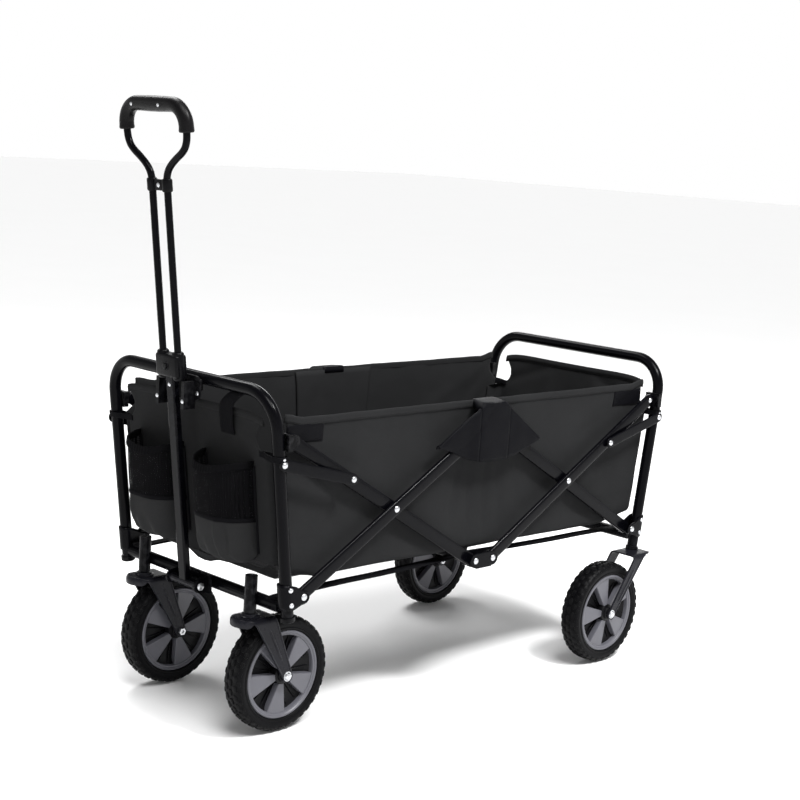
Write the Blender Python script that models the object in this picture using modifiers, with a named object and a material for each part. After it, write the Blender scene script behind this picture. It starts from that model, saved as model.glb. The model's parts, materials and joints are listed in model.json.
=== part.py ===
"""Folding utility wagon with a telescoping pull handle.

The frame folds lengthwise: crossed bars on each side join the two end loops, and the front end
travels towards the rear end. X runs from the handle (-X) to the rear (+X), Y from the near side (-Y)
to the far side (+Y), and Z up from the floor. Lengths are metres.

Every piece is first placed from the middle of the crossed bars, X = 0. The "wagon" empty then moves
the whole wagon by CENTRE_X, which puts the origin under the middle of its overall length.
"""

import math

import bmesh
import bpy
from mathutils import Matrix, Vector

# Which end and which side of the wagon a piece is on.
FRONT, REAR = -1, 1
NEAR, FAR = -1, 1
SIDE_NAMES = {NEAR: "near", FAR: "far"}
END_NAMES = {FRONT: "front", REAR: "rear"}

CENTRE_X = 0.0410

# Crossed bars: three equal pivot spacings, so the linkage closes at every fold angle.
PIVOT_SPACING = 0.2149
BAR_ANGLE = math.radians(30.2)
UPPER_ARM = 0.2473
CENTRE_PIN = 0.0205
LOW_Z = 0.229
BAR_WIDTH = 0.022
PIN_RADIUS = 0.004
PIN_HOLE_RADIUS = 0.0045
HEAD_RADIUS = 0.0065

# Layers out from the middle plane: pin heads, bracket ears, inner bar, outer bar, links.
FABRIC_OUTER = 0.183
EAR_INNER = (0.1852, 0.1882)
INNER_BAR = (0.1895, 0.1995)
OUTER_BAR = (0.2015, 0.2115)
EAR_OUTER = (0.2118, 0.2148)
LINK_LAYER = (0.2125, 0.2175)
HEAD_INNER = 0.1837
HEAD_OUTER = 0.2168

# End loops: upside-down U tubes that lean outwards.
LOOP_RADIUS = 0.011
LOOP_HALF_WIDTH = 0.200
LOOP_TOP = 0.530
LOOP_CORNER = 0.056
LEG_X = 0.4165
LEG_LEAN = 0.13
FRONT_LEG_BOTTOM = 0.198
REAR_LEG_BOTTOM = 0.1908
CROSS_TUBE_Z = 0.212
CROSS_TUBE_RADIUS = 0.0095
CROSS_TUBE_HALF = 0.1849

# Side links between the loops and the inner arms.
LINK_PIN_Z = 0.430
LINK_ALONG_ARM = 0.116
LINK_WIDTH = 0.018

# Wheels.
WHEEL_RADIUS = 0.090
WHEEL_WIDTH = 0.036
RIM_RADIUS = 0.0683
TYRE_BORE = 0.0690
HUB_HALF = 0.0225
AXLE_RADIUS = 0.004
FORK_GAP = 0.0245
FORK_WALL = 0.003
CASTER_X = 0.428
CASTER_Y = 0.132
CASTER_TRAIL = 0.057
REAR_WHEEL_X = 0.317
REAR_WHEEL_Y = 0.209
CASTER_PLATE = (0.1835, 0.1875)
REAR_PLATE = (0.1845, 0.1885)

# Pull handle: T is the distance up the handle from its hinge.
HANDLE_X = -0.448
HANDLE_Z = 0.2115
HANDLE_LEAN = math.atan(0.125)
ROD_Y = 0.018
ROD_RADIUS = 0.006
LOWER_BAR_HALF = 0.0095
LOWER_BAR_TOP = 0.3262
LOWER_BAR_DEPTH = 0.0115
HUB_T = (0.320, 0.356)
ROD_BOTTOM = 0.3205
COLLAR_T = (0.593, 0.611)
GRIP_T = 0.7165
GRIP_HALF = 0.071

# Fabric bin.
BIN_BOTTOM = 0.2375
BIN_TOP = 0.492
BIN_FRONT = -0.403
BIN_REAR = 0.410
CLOTH = 0.004
END_PANEL_Z = (0.2525, 0.500)
POCKET_Z = (0.262, 0.405)
POCKET_Y = (0.0285, 0.1375)
POCKET_DEPTH = 0.044


# Turns a flat outline's plane: to face along X, and into the plane of the leaning handle.
ACROSS = Matrix(((0, 0, 1, 0), (1, 0, 0, 0), (0, 1, 0, 0), (0, 0, 0, 1)))
HANDLE_PLANE = (
    Matrix.Translation((HANDLE_X, 0, HANDLE_Z)) @ Matrix.Rotation(-HANDLE_LEAN, 4, "Y") @ ACROSS
)


def leg_x(z):
    """Distance of a loop's leg axis from the middle of the wagon, at a height."""
    return LEG_X + LEG_LEAN * (z - LOW_Z)


# ---------------------------------------------------------------------------------------------
# Collections, materials and bodies


def clear_scene():
    for obj in list(bpy.data.objects):
        bpy.data.objects.remove(obj, do_unlink=True)


def new_collection(name):
    collection = bpy.data.collections.new(name)
    bpy.context.scene.collection.children.link(collection)
    return collection


def new_material(name, colour, roughness, metallic=0.0):
    material = bpy.data.materials.new(name)
    material.use_nodes = True
    shader = material.node_tree.nodes["Principled BSDF"]
    shader.inputs["Base Color"].default_value = (*colour, 1.0)
    shader.inputs["Roughness"].default_value = roughness
    shader.inputs["Metallic"].default_value = metallic
    material.diffuse_color = (*colour, 1.0)
    return material


clear_scene()
WAGON = new_collection("folding_wagon")
CUTTERS = new_collection("cutters")
MATERIALS = {
    "frame_black": new_material("frame_black", (0.022, 0.022, 0.026), 0.38, 0.2),
    "bar_black": new_material("bar_black", (0.030, 0.031, 0.035), 0.35, 0.3),
    "zinc_steel": new_material("zinc_steel", (0.62, 0.63, 0.65), 0.30, 1.0),
    "bin_fabric": new_material("bin_fabric", (0.030, 0.031, 0.033), 0.90),
    "pocket_mesh": new_material("pocket_mesh", (0.016, 0.016, 0.018), 0.92),
    "tyre_rubber": new_material("tyre_rubber", (0.020, 0.020, 0.021), 0.75),
    "rim_plastic": new_material("rim_plastic", (0.115, 0.115, 0.128), 0.48),
    "black_plastic": new_material("black_plastic", (0.018, 0.018, 0.020), 0.50),
    "base_board": new_material("base_board", (0.035, 0.036, 0.038), 0.85),
}


def new_body(name, location, parent=None):
    """An empty on a moving body's joint axis. The body's pieces are parented to it."""
    empty = bpy.data.objects.new(f"{name}_axis", None)
    empty.empty_display_size = 0.03
    WAGON.objects.link(empty)
    if parent is not None:
        empty.parent = parent
    empty.location = Vector(location) - (ORIGINS[parent.name] if parent is not None else Vector())
    ORIGINS[empty.name] = Vector(location)
    return empty


ORIGINS = {}


def hang(obj, body):
    """Parents a piece that was made in place to its body."""
    obj.parent = body
    obj.matrix_parent_inverse = Matrix.Translation(-ORIGINS[body.name])


def add(obj, name, body, material):
    """Names a finished piece, gives it its material and hangs it on its body."""
    obj.name = name
    obj.data.name = name
    obj.data.materials.clear()
    obj.data.materials.append(MATERIALS[material])
    hang(obj, body)
    return obj


# ---------------------------------------------------------------------------------------------
# Shapes


def object_from_bmesh(bm, name="piece", sharp=40.0):
    bm.normal_update()
    bmesh.ops.recalc_face_normals(bm, faces=bm.faces)
    mesh = bpy.data.meshes.new(name)
    bm.to_mesh(mesh)
    bm.free()
    mesh.shade_smooth()
    mesh.set_sharp_from_angle(angle=math.radians(sharp))
    obj = bpy.data.objects.new(name, mesh)
    WAGON.objects.link(obj)
    return obj


def solid_from(obj):
    """Swaps a curve or a piece with modifiers for its welded mesh, in place."""
    depsgraph = bpy.context.evaluated_depsgraph_get()
    mesh = bpy.data.meshes.new_from_object(obj.evaluated_get(depsgraph))
    bm = bmesh.new()
    bm.from_mesh(mesh)
    bmesh.ops.remove_doubles(bm, verts=bm.verts, dist=0.00002)
    made = object_from_bmesh(bm)
    made.matrix_world = obj.matrix_world.copy()
    bpy.data.objects.remove(obj, do_unlink=True)
    return made


def round_bar(start, end, radius, segments=16):
    """A solid cylinder between two points."""
    start, end = Vector(start), Vector(end)
    turn = (end - start).to_track_quat("Z", "Y").to_matrix().to_4x4()
    bm = bmesh.new()
    bmesh.ops.create_cone(
        bm,
        cap_ends=True,
        segments=segments,
        radius1=radius,
        radius2=radius,
        depth=(end - start).length,
        matrix=Matrix.Translation((start + end) / 2) @ turn,
    )
    return object_from_bmesh(bm, "round_bar")


def cross_pin(x, z, side, y_from, y_to, radius, segments=10):
    """A cylinder along Y between two distances from the middle plane."""
    return round_bar((x, side * y_from, z), (x, side * y_to, z), radius, segments)


def box(x, y, z):
    """A box from its limits along X, Y and Z."""
    centre = Vector((sum(x) / 2, sum(y) / 2, sum(z) / 2))
    size = (abs(x[1] - x[0]), abs(y[1] - y[0]), abs(z[1] - z[0]))
    bm = bmesh.new()
    bmesh.ops.create_cube(bm, size=1.0, matrix=Matrix.Translation(centre) @ Matrix.Diagonal((*size, 1)))
    return object_from_bmesh(bm, "box")


def tube(points, radius, resolution=4):
    """A round solid tube along points, as a mesh."""
    curve = bpy.data.curves.new("tube", "CURVE")
    curve.dimensions = "3D"
    spline = curve.splines.new("POLY")
    spline.points.add(len(points) - 1)
    for point, place in zip(spline.points, points):
        point.co = (*place, 1.0)
    curve.bevel_depth = radius
    curve.bevel_resolution = resolution
    curve.use_fill_caps = True
    obj = bpy.data.objects.new("tube", curve)
    WAGON.objects.link(obj)
    return solid_from(obj)


def flat_piece(outline, thickness, place):
    """An outline in its own XY plane, given a thickness and set down by a matrix."""
    curve = bpy.data.curves.new("outline", "CURVE")
    curve.dimensions = "2D"
    curve.fill_mode = "BOTH"
    curve.extrude = thickness / 2
    spline = curve.splines.new("POLY")
    spline.points.add(len(outline) - 1)
    for point, (u, v) in zip(spline.points, outline):
        point.co = (u, v, 0.0, 1.0)
    spline.use_cyclic_u = True
    obj = bpy.data.objects.new("outline", curve)
    WAGON.objects.link(obj)
    obj.matrix_world = place
    bpy.context.view_layer.update()
    return solid_from(obj)


def side_plate(outline, side, layer):
    """A plate whose outline is given in X and Z, filling a layer of distances from the middle plane."""
    middle = side * (layer[0] + layer[1]) / 2
    place = Matrix.Translation((0, middle, 0)) @ Matrix.Rotation(math.radians(90), 4, "X")
    return flat_piece(outline, layer[1] - layer[0], place)


def level_plate(outline, z):
    """A plate whose outline is given in X and Y, between two heights."""
    return flat_piece(outline, z[1] - z[0], Matrix.Translation((0, 0, sum(z) / 2)))


def arc(centre, radius, start, end, steps):
    """Points of an arc, angles in degrees."""
    angles = [math.radians(start + (end - start) * i / steps) for i in range(steps + 1)]
    return [(centre[0] + radius * math.cos(a), centre[1] + radius * math.sin(a)) for a in angles]


def long_round(start, end, width, steps=6):
    """A straight strip's outline with round ends about two pivots."""
    heading = math.degrees(math.atan2(end[1] - start[1], end[0] - start[0]))
    near_end = arc(start, width / 2, heading + 90, heading + 270, steps)
    return near_end + arc(end, width / 2, heading - 90, heading + 90, steps)


def soften(obj, width, segments=2, angle=50.0):
    """Rounds a piece's sharp edges."""
    bevel = obj.modifiers.new("rounded_edges", "BEVEL")
    bevel.width = width
    bevel.segments = segments
    bevel.limit_method = "ANGLE"
    bevel.angle_limit = math.radians(angle)
    return obj


def boolean(obj, other, operation):
    modifier = obj.modifiers.new(operation.lower(), "BOOLEAN")
    modifier.operation = operation
    modifier.solver = "EXACT"
    modifier.object = other
    for collection in list(other.users_collection):
        collection.objects.unlink(other)
    CUTTERS.objects.link(other)
    other.hide_render = True
    other.display_type = "WIRE"
    hang(other, ROOT)


def weld_on(obj, *others):
    """Joins other shapes to a piece."""
    for other in others:
        boolean(obj, other, "UNION")
    return obj


def cut(obj, *others):
    """Cuts other shapes out of a piece."""
    for other in others:
        boolean(obj, other, "DIFFERENCE")
    return obj


def turned(profile, place, segments=32):
    """A profile of (radius, height) points, top to bottom along its outer side, turned about Z."""
    bm = bmesh.new()
    verts = [bm.verts.new((radius, 0.0, height)) for radius, height in profile]
    for i, vert in enumerate(verts):
        bm.edges.new((vert, verts[(i + 1) % len(verts)]))
    mesh = bpy.data.meshes.new("profile")
    bm.to_mesh(mesh)
    bm.free()
    obj = bpy.data.objects.new("profile", mesh)
    WAGON.objects.link(obj)
    screw = obj.modifiers.new("turn", "SCREW")
    screw.steps = screw.render_steps = segments
    screw.use_merge_vertices = True
    screw.merge_threshold = 0.00005
    screw.use_normal_calculate = True
    obj.matrix_world = place
    bpy.context.view_layer.update()
    return solid_from(obj)


# ---------------------------------------------------------------------------------------------
# Pivot points of the crossed bars, in X and Z


def bar_pivots(end):
    """Pivots of one end's half of a side: corner, crossing, centre top, centre bottom, arm end, link."""
    run, rise = math.cos(BAR_ANGLE), math.sin(BAR_ANGLE)
    centre_low = (end * CENTRE_PIN, LOW_Z)
    crossing = (end * (CENTRE_PIN + PIVOT_SPACING * run), LOW_Z + PIVOT_SPACING * rise)
    return {
        "centre_low": centre_low,
        "crossing": crossing,
        "centre_top": (end * CENTRE_PIN, LOW_Z + 2 * PIVOT_SPACING * rise),
        "corner": (end * (CENTRE_PIN + 2 * PIVOT_SPACING * run), LOW_Z),
        "arm_end": (crossing[0] + end * UPPER_ARM * run, crossing[1] + UPPER_ARM * rise),
        "link": (crossing[0] + end * LINK_ALONG_ARM * run, crossing[1] + LINK_ALONG_ARM * rise),
        "leg": (end * leg_x(LINK_PIN_Z), LINK_PIN_Z),
    }


FRONT_PIVOTS = bar_pivots(FRONT)
REAR_PIVOTS = bar_pivots(REAR)
PIVOTS = {FRONT: FRONT_PIVOTS, REAR: REAR_PIVOTS}


def at(pivot, y=0.0):
    return (pivot[0], y, pivot[1])


def on_handle(t, y=0.0, out=0.0):
    """A point on the handle: up it by t, sideways by y, out towards the front by out."""
    sin, cos = math.sin(HANDLE_LEAN), math.cos(HANDLE_LEAN)
    return (HANDLE_X - sin * t - cos * out, y, HANDLE_Z + cos * t - sin * out)


# ---------------------------------------------------------------------------------------------
# Bodies, from the rear frame outwards

ROOT = new_body("wagon", (0, 0, 0))
BODY = {
    "rear_bars": new_body("rear_bars", at(REAR_PIVOTS["corner"]), ROOT),
    "rear_links": new_body("rear_links", at(REAR_PIVOTS["leg"]), ROOT),
}
BODY["top_centre"] = new_body("top_centre", at(REAR_PIVOTS["centre_top"]), BODY["rear_bars"])
BODY["rear_arms"] = new_body("rear_arms", at(REAR_PIVOTS["crossing"]), BODY["rear_bars"])
BODY["low_centre"] = new_body("low_centre", at(REAR_PIVOTS["centre_low"]), BODY["rear_arms"])
BODY["front_bars"] = new_body("front_bars", at(FRONT_PIVOTS["centre_top"]), BODY["top_centre"])
BODY["front_arms"] = new_body("front_arms", at(FRONT_PIVOTS["crossing"]), BODY["front_bars"])
BODY["front_frame"] = new_body("front_frame", at(FRONT_PIVOTS["corner"]), BODY["front_bars"])
BODY["front_links"] = new_body("front_links", at(FRONT_PIVOTS["leg"]), BODY["front_frame"])
BODY["handle_lower"] = new_body("handle_lower", on_handle(0), BODY["front_frame"])
BODY["handle_upper"] = new_body("handle_upper", on_handle(HUB_T[1]), BODY["handle_lower"])
BODY["latch_button"] = new_body("latch_button", on_handle(sum(HUB_T) / 2), BODY["handle_lower"])
for side, side_name in SIDE_NAMES.items():
    caster = new_body(f"caster_{side_name}", (-CASTER_X, side * CASTER_Y, 0.19), BODY["front_frame"])
    BODY[f"caster_{side_name}"] = caster
    hub = (CASTER_TRAIL - CASTER_X, side * CASTER_Y, WHEEL_RADIUS)
    BODY[f"front_wheel_{side_name}"] = new_body(f"front_wheel_{side_name}", hub, caster)
    hub = (REAR_WHEEL_X, side * REAR_WHEEL_Y, WHEEL_RADIUS)
    BODY[f"rear_wheel_{side_name}"] = new_body(f"rear_wheel_{side_name}", hub, ROOT)
END_BODY = {FRONT: BODY["front_frame"], REAR: ROOT}


# ---------------------------------------------------------------------------------------------
# End frames


def make_end_loop(end):
    """An upside-down U tube that leans outwards, with a hole near the top of each leg for a link."""
    bottom = FRONT_LEG_BOTTOM if end == FRONT else REAR_LEG_BOTTOM
    corner = (LOOP_HALF_WIDTH - LOOP_CORNER, LOOP_TOP - LOOP_CORNER)
    half = [(LOOP_HALF_WIDTH, bottom), *arc(corner, LOOP_CORNER, 0, 90, 7)]
    outline = half + [(-y, z) for y, z in reversed(half)]
    loop = tube([(end * leg_x(z), y, z) for y, z in outline], LOOP_RADIUS)
    for side in SIDE_NAMES:
        cut(loop, cross_pin(*PIVOTS[end]["leg"], side, 0.2030, 0.2150, PIN_HOLE_RADIUS))
    add(loop, f"{END_NAMES[end]}_loop", END_BODY[end], "frame_black")


def make_front_cross_tube():
    """The tube between the front legs, with a socket welded on for each caster's stem."""
    x = -leg_x(CROSS_TUBE_Z)
    ends = [(x, y * CROSS_TUBE_HALF, CROSS_TUBE_Z) for y in (NEAR, FAR)]
    cross = round_bar(*ends, CROSS_TUBE_RADIUS)
    for side in SIDE_NAMES:
        stem = (-CASTER_X, side * CASTER_Y)
        weld_on(cross, round_bar((*stem, 0.1935), (*stem, 0.2495), CROSS_TUBE_RADIUS))
        cut(cross, round_bar((*stem, 0.1900), (*stem, 0.2440), 0.0056, 16))
    add(cross, "front_cross_tube", BODY["front_frame"], "frame_black")


def make_rear_cross_tube():
    x = leg_x(CROSS_TUBE_Z)
    ends = [(x, y * CROSS_TUBE_HALF, CROSS_TUBE_Z) for y in (NEAR, FAR)]
    add(round_bar(*ends, CROSS_TUBE_RADIUS), "rear_cross_tube", ROOT, "frame_black")


def make_corner_bracket(end, side):
    """A plate bent round a leg, whose two ears carry a crossed bar's lower pin."""
    inner, outer = EAR_INNER, EAR_OUTER
    reach, back, wall = 0.3805, 0.4345, 0.003
    outline = [
        (reach, inner[0]),
        (back, inner[0]),
        (back, outer[1]),
        (reach, outer[1]),
        (reach, outer[0]),
        (back - wall, outer[0]),
        (back - wall, inner[1]),
        (reach, inner[1]),
    ]
    bracket = level_plate([(end * x, side * y) for x, y in outline], (0.212, 0.250))
    corner = PIVOTS[end]["corner"]
    weld_on(
        bracket,
        cross_pin(*corner, side, inner[0] + 0.001, outer[1] - 0.001, PIN_RADIUS),
        cross_pin(*corner, side, HEAD_INNER, inner[0] + 0.001, HEAD_RADIUS),
        cross_pin(*corner, side, outer[1] - 0.001, HEAD_OUTER, HEAD_RADIUS),
    )
    add(bracket, f"{END_NAMES[end]}_corner_bracket_{SIDE_NAMES[side]}", END_BODY[end], "frame_black")


# ---------------------------------------------------------------------------------------------
# Crossed bars, their centre brackets, saddles and links


def make_bar(start, end, side, layer, holes):
    bar = soften(side_plate(long_round(start, end, BAR_WIDTH), side, layer), 0.003)
    middle = (layer[0] - 0.002, layer[1] + 0.002)
    return cut(bar, *[cross_pin(*hole, side, *middle, PIN_HOLE_RADIUS) for hole in holes])


def make_crossed_bars(end, side):
    """One end's pair on one side: the corner bar to the top bracket, and the arm that crosses it."""
    pivots, name = PIVOTS[end], f"{END_NAMES[end]}_{{}}_{SIDE_NAMES[side]}"
    bar_layer = OUTER_BAR if end == FRONT else INNER_BAR
    arm_layer = INNER_BAR if end == FRONT else OUTER_BAR
    bar_holes = [pivots["corner"], pivots["centre_top"]]
    arm_holes = [pivots["centre_low"], pivots["crossing"]]
    if end == REAR:
        bar_holes.append(pivots["crossing"])
        arm_holes.remove(pivots["crossing"])
    bar = make_bar(pivots["corner"], pivots["centre_top"], side, bar_layer, bar_holes)
    arm = make_bar(pivots["centre_low"], pivots["arm_end"], side, arm_layer, arm_holes)
    outer = bar if end == FRONT else arm
    crossing = pivots["crossing"]
    weld_on(
        outer,
        cross_pin(*crossing, side, 0.1875, OUTER_BAR[1] - 0.001, PIN_RADIUS),
        cross_pin(*crossing, side, 0.1855, 0.1885, HEAD_RADIUS),
        cross_pin(*crossing, side, OUTER_BAR[1] - 0.001, 0.2138, HEAD_RADIUS),
    )
    add(bar, name.format("crossed_bar"), BODY[f"{END_NAMES[end]}_bars"], "bar_black")
    add(arm, name.format("crossed_arm"), BODY[f"{END_NAMES[end]}_arms"], "bar_black")


def make_arm_saddle(end, side):
    """A plastic cradle on the end of an arm, which the loop's leg rests in when the wagon is open."""
    x, z = PIVOTS[end]["arm_end"]
    tangent = leg_x(z) - LOOP_RADIUS
    jaws = (end * (abs(x) + 0.0114), end * (tangent + 0.005))
    saddle = box(jaws, (side * 0.1856, side * 0.2144), (z - 0.012, z + 0.012))
    leg = [(end * leg_x(h), side * LOOP_HALF_WIDTH, h) for h in (z - 0.03, z + 0.03)]
    cheek_layer = (INNER_BAR[1] + 0.0004, 0.2040) if end == FRONT else (0.1970, OUTER_BAR[0] - 0.0004)
    outline = long_round((x, z), (end * (abs(x) + 0.014), z), 0.020, 6)
    weld_on(saddle, side_plate(outline, side, cheek_layer))
    cut(saddle, round_bar(*leg, LOOP_RADIUS + 0.001, 24))
    name = f"{END_NAMES[end]}_arm_saddle_{SIDE_NAMES[side]}"
    add(saddle, name, BODY[f"{END_NAMES[end]}_arms"], "black_plastic")


def channel(side, web, ears_to, half_length):
    """A U section along X: its web between two heights and both ears reaching a third height."""
    low, high = sorted((min(web), max(web), ears_to))[::2]
    inside = (web[0], ears_to - 0.001) if ears_to < web[0] else (web[1], ears_to + 0.001)
    body = box((-half_length, half_length), (side * EAR_INNER[0], side * EAR_OUTER[1]), (low, high))
    hollow = box((-0.05, 0.05), (side * EAR_INNER[1], side * EAR_OUTER[0]), inside)
    return cut(body, hollow)


def weld_centre_pins(obj, side, key):
    """Two pins through a centre bracket's ears, one for each end's bar."""
    for end in END_NAMES:
        pivot = PIVOTS[end][key]
        weld_on(
            obj,
            cross_pin(*pivot, side, EAR_INNER[0] + 0.001, EAR_OUTER[1] - 0.001, PIN_RADIUS),
            cross_pin(*pivot, side, HEAD_INNER, EAR_INNER[0] + 0.001, HEAD_RADIUS),
            cross_pin(*pivot, side, EAR_OUTER[1] - 0.001, 0.2160, HEAD_RADIUS),
        )


def make_top_bracket(side):
    bracket = channel(side, (0.4615, 0.4645), 0.4320, 0.038)
    weld_centre_pins(bracket, side, "centre_top")
    add(bracket, f"top_bracket_{SIDE_NAMES[side]}", BODY["top_centre"], "frame_black")


def make_low_carriage():
    """The two lower centre brackets, welded to the tube that carries the middle of the floor."""
    carriage = round_bar((0, -0.1865, 0.2225), (0, 0.1865, 0.2225), 0.008)
    for side in SIDE_NAMES:
        weld_on(carriage, solid_from(channel(side, (0.2125, 0.2155), 0.2425, 0.038)))
        weld_centre_pins(carriage, side, "centre_low")
    add(carriage, "low_centre_carriage", BODY["low_centre"], "frame_black")


def make_link(end, side):
    """The short strip that guides an arm: pinned to the leg, with a stud that meets the arm's face."""
    leg, arm = PIVOTS[end]["leg"], PIVOTS[end]["link"]
    link = side_plate(long_round(leg, arm, LINK_WIDTH, 6), side, LINK_LAYER)
    stud_from = (INNER_BAR if end == FRONT else OUTER_BAR)[1] + 0.0005
    weld_on(
        link,
        cross_pin(*leg, side, 0.2038, LINK_LAYER[1] - 0.001, PIN_RADIUS),
        cross_pin(*leg, side, LINK_LAYER[1] - 0.001, 0.2192, HEAD_RADIUS),
        cross_pin(*arm, side, stud_from, LINK_LAYER[1] - 0.001, 0.005),
        cross_pin(*arm, side, LINK_LAYER[1] - 0.001, 0.2192, HEAD_RADIUS),
    )
    name = f"{END_NAMES[end]}_link_{SIDE_NAMES[side]}"
    add(link, name, BODY[f"{END_NAMES[end]}_links"], "bar_black")


# ---------------------------------------------------------------------------------------------
# Wheels and forks


def wheel_place(x, y):
    """Stands a shape turned about Z up as a wheel on an axle along Y."""
    return Matrix.Translation((x, y, WHEEL_RADIUS)) @ Matrix.Rotation(math.radians(90), 4, "X")


def make_wheel(name, x, y, body):
    half = WHEEL_WIDTH / 2
    shoulder = arc((WHEEL_RADIUS - 0.009, half - 0.009), 0.009, 0, 90, 2)
    upper = [(TYRE_BORE, half), *reversed(shoulder)]
    profile = upper + [(radius, -height) for radius, height in reversed(upper)]
    add(turned(profile, wheel_place(x, y), 32), f"{name}_tyre", body, "tyre_rubber")
    web, bore = 0.004, AXLE_RADIUS + 0.0005
    upper = [(bore, HUB_HALF), (0.013, HUB_HALF), (0.018, web), (0.0600, web)]
    upper += [(0.0615, half - 0.002), (RIM_RADIUS, half - 0.002)]
    profile = upper + [(radius, -height) for radius, height in reversed(upper)]
    add(turned(profile, wheel_place(x, y), 24), f"{name}_rim", body, "rim_plastic")


def tapered_leg(top_left, top_right, hub, radius, steps=6):
    """A fork leg's outline: a straight top, tapering to a round end about the hub."""
    left = math.degrees(math.atan2(hub[1] - top_left[1], hub[0] - top_left[0]))
    right = math.degrees(math.atan2(hub[1] - top_right[1], hub[0] - top_right[0]))
    return [top_right, top_left, *arc(hub, radius, left - 90, right + 90, steps)]


def make_fork(plate_outline, plate_z, leg_top, x, y):
    """A pressed fork: a top plate with a leg down each side of the wheel."""
    fork = level_plate(plate_outline, plate_z)
    hub = (x, WHEEL_RADIUS)
    outline = tapered_leg((leg_top[0], plate_z[1]), (leg_top[1], plate_z[1]), hub, 0.0100)
    for wall in (FORK_GAP, -FORK_GAP - FORK_WALL):
        weld_on(fork, side_plate(outline, 1, (y + wall, y + wall + FORK_WALL)))
    reach = FORK_GAP + FORK_WALL + 0.002
    bore = [(x, y + end, WHEEL_RADIUS) for end in (-reach, reach)]
    return cut(fork, round_bar(*bore, AXLE_RADIUS + 0.0005, 12))


def make_axle(name, x, y, side, body):
    """A bolt through fork and wheel, its head on the outside and a nut on the inside."""
    face = FORK_GAP + FORK_WALL + 0.0003
    centre = Vector((x, y, WHEEL_RADIUS))
    outwards = Vector((0, side, 0))
    bolt = round_bar(centre - outwards * (face + 0.002), centre + outwards * (face + 0.002), AXLE_RADIUS, 16)
    weld_on(
        bolt,
        round_bar(centre + outwards * face, centre + outwards * (face + 0.0032), 0.0072, 20),
        round_bar(centre - outwards * face, centre - outwards * (face + 0.0032), 0.0065, 6),
    )
    add(bolt, name, body, "zinc_steel")


def make_caster(side):
    side_name = SIDE_NAMES[side]
    body, wheel = BODY[f"caster_{side_name}"], BODY[f"front_wheel_{side_name}"]
    x, y = CASTER_TRAIL - CASTER_X, side * CASTER_Y
    half = FORK_GAP + FORK_WALL
    nose = arc((-CASTER_X - 0.0015, y), half, 90, 270, 10)
    plate = [*nose, (-CASTER_X + 0.033, y - half), (-CASTER_X + 0.033, y + half)]
    fork = make_fork(plate, CASTER_PLATE, (-0.4400, -0.3980), x, y)
    stem = (-CASTER_X, y)
    weld_on(
        fork,
        round_bar((*stem, CASTER_PLATE[0] + 0.001), (*stem, 0.1925), 0.0135),
        round_bar((*stem, 0.1915), (*stem, 0.2430), 0.0050, 16),
    )
    add(fork, f"caster_fork_{side_name}", body, "frame_black")
    make_axle(f"front_axle_{side_name}", x, y, side, body)
    make_wheel(f"front_wheel_{side_name}", x, y, wheel)


def make_rear_wheel(side):
    side_name = SIDE_NAMES[side]
    x, y = REAR_WHEEL_X, side * REAR_WHEEL_Y
    half = FORK_GAP + FORK_WALL
    plate = [(0.366, y - half), (0.420, y - half), (0.428, y - half + 0.008)]
    plate += [(0.428, y + half - 0.008), (0.420, y + half), (0.366, y + half)]
    fork = make_fork(plate, REAR_PLATE, (0.3740, 0.4020), x, y)
    add(fork, f"rear_fork_{side_name}", ROOT, "frame_black")
    make_axle(f"rear_axle_{side_name}", x, y, side, ROOT)
    make_wheel(f"rear_wheel_{side_name}", x, y, BODY[f"rear_wheel_{side_name}"])


# ---------------------------------------------------------------------------------------------
# Pull handle


def make_handle_bracket():
    """Two ears and a block on the front cross tube, with the bolt that the handle hinges on."""
    ear = [(-0.4240, 0.1975), (-0.4240, 0.2255), *arc((HANDLE_X, HANDLE_Z), 0.0105, 90, 270, 8)]
    front = -leg_x(CROSS_TUBE_Z) - CROSS_TUBE_RADIUS - 0.0004
    block = box((front, front - 0.0085), (-0.0355, 0.0355), (0.1975, 0.2255))
    for side in SIDE_NAMES:
        outline = [(min(x, front), z) for x, z in ear]
        weld_on(block, side_plate(outline, side, (0.0322, 0.0355)))
        weld_on(block, cross_pin(HANDLE_X, HANDLE_Z, side, 0.0345, 0.0390, 0.0060))
    weld_on(block, round_bar((HANDLE_X, -0.0345, HANDLE_Z), (HANDLE_X, 0.0345, HANDLE_Z), 0.0035))
    add(block, "handle_bracket", BODY["front_frame"], "frame_black")


def make_handle_holder():
    """A plate on the front of the loop's top tube, with two jaws that steady the upright handle."""
    half_y, low, high, round_off = 0.045, 0.497, 0.534, 0.012
    back = -leg_x(LOOP_TOP) - LOOP_RADIUS - 0.0006
    front = back - 0.0035
    outline = []
    for quarter, (y, z) in enumerate(((half_y, high), (-half_y, high), (-half_y, low), (half_y, low))):
        corner = (y - math.copysign(round_off, y), z + (round_off if z == low else -round_off))
        outline += arc(corner, round_off, 90 * quarter, 90 * quarter + 90, 4)
    holder = flat_piece(outline, back - front, Matrix.Translation(((back + front) / 2, 0, 0)) @ ACROSS)
    for side in SIDE_NAMES:
        jaw = (side * 0.0270, side * 0.0345)
        weld_on(holder, box((front + 0.001, front - 0.0200), jaw, (low - 0.012, high - 0.008)))
    add(holder, "handle_holder", BODY["front_frame"], "black_plastic")


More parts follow.
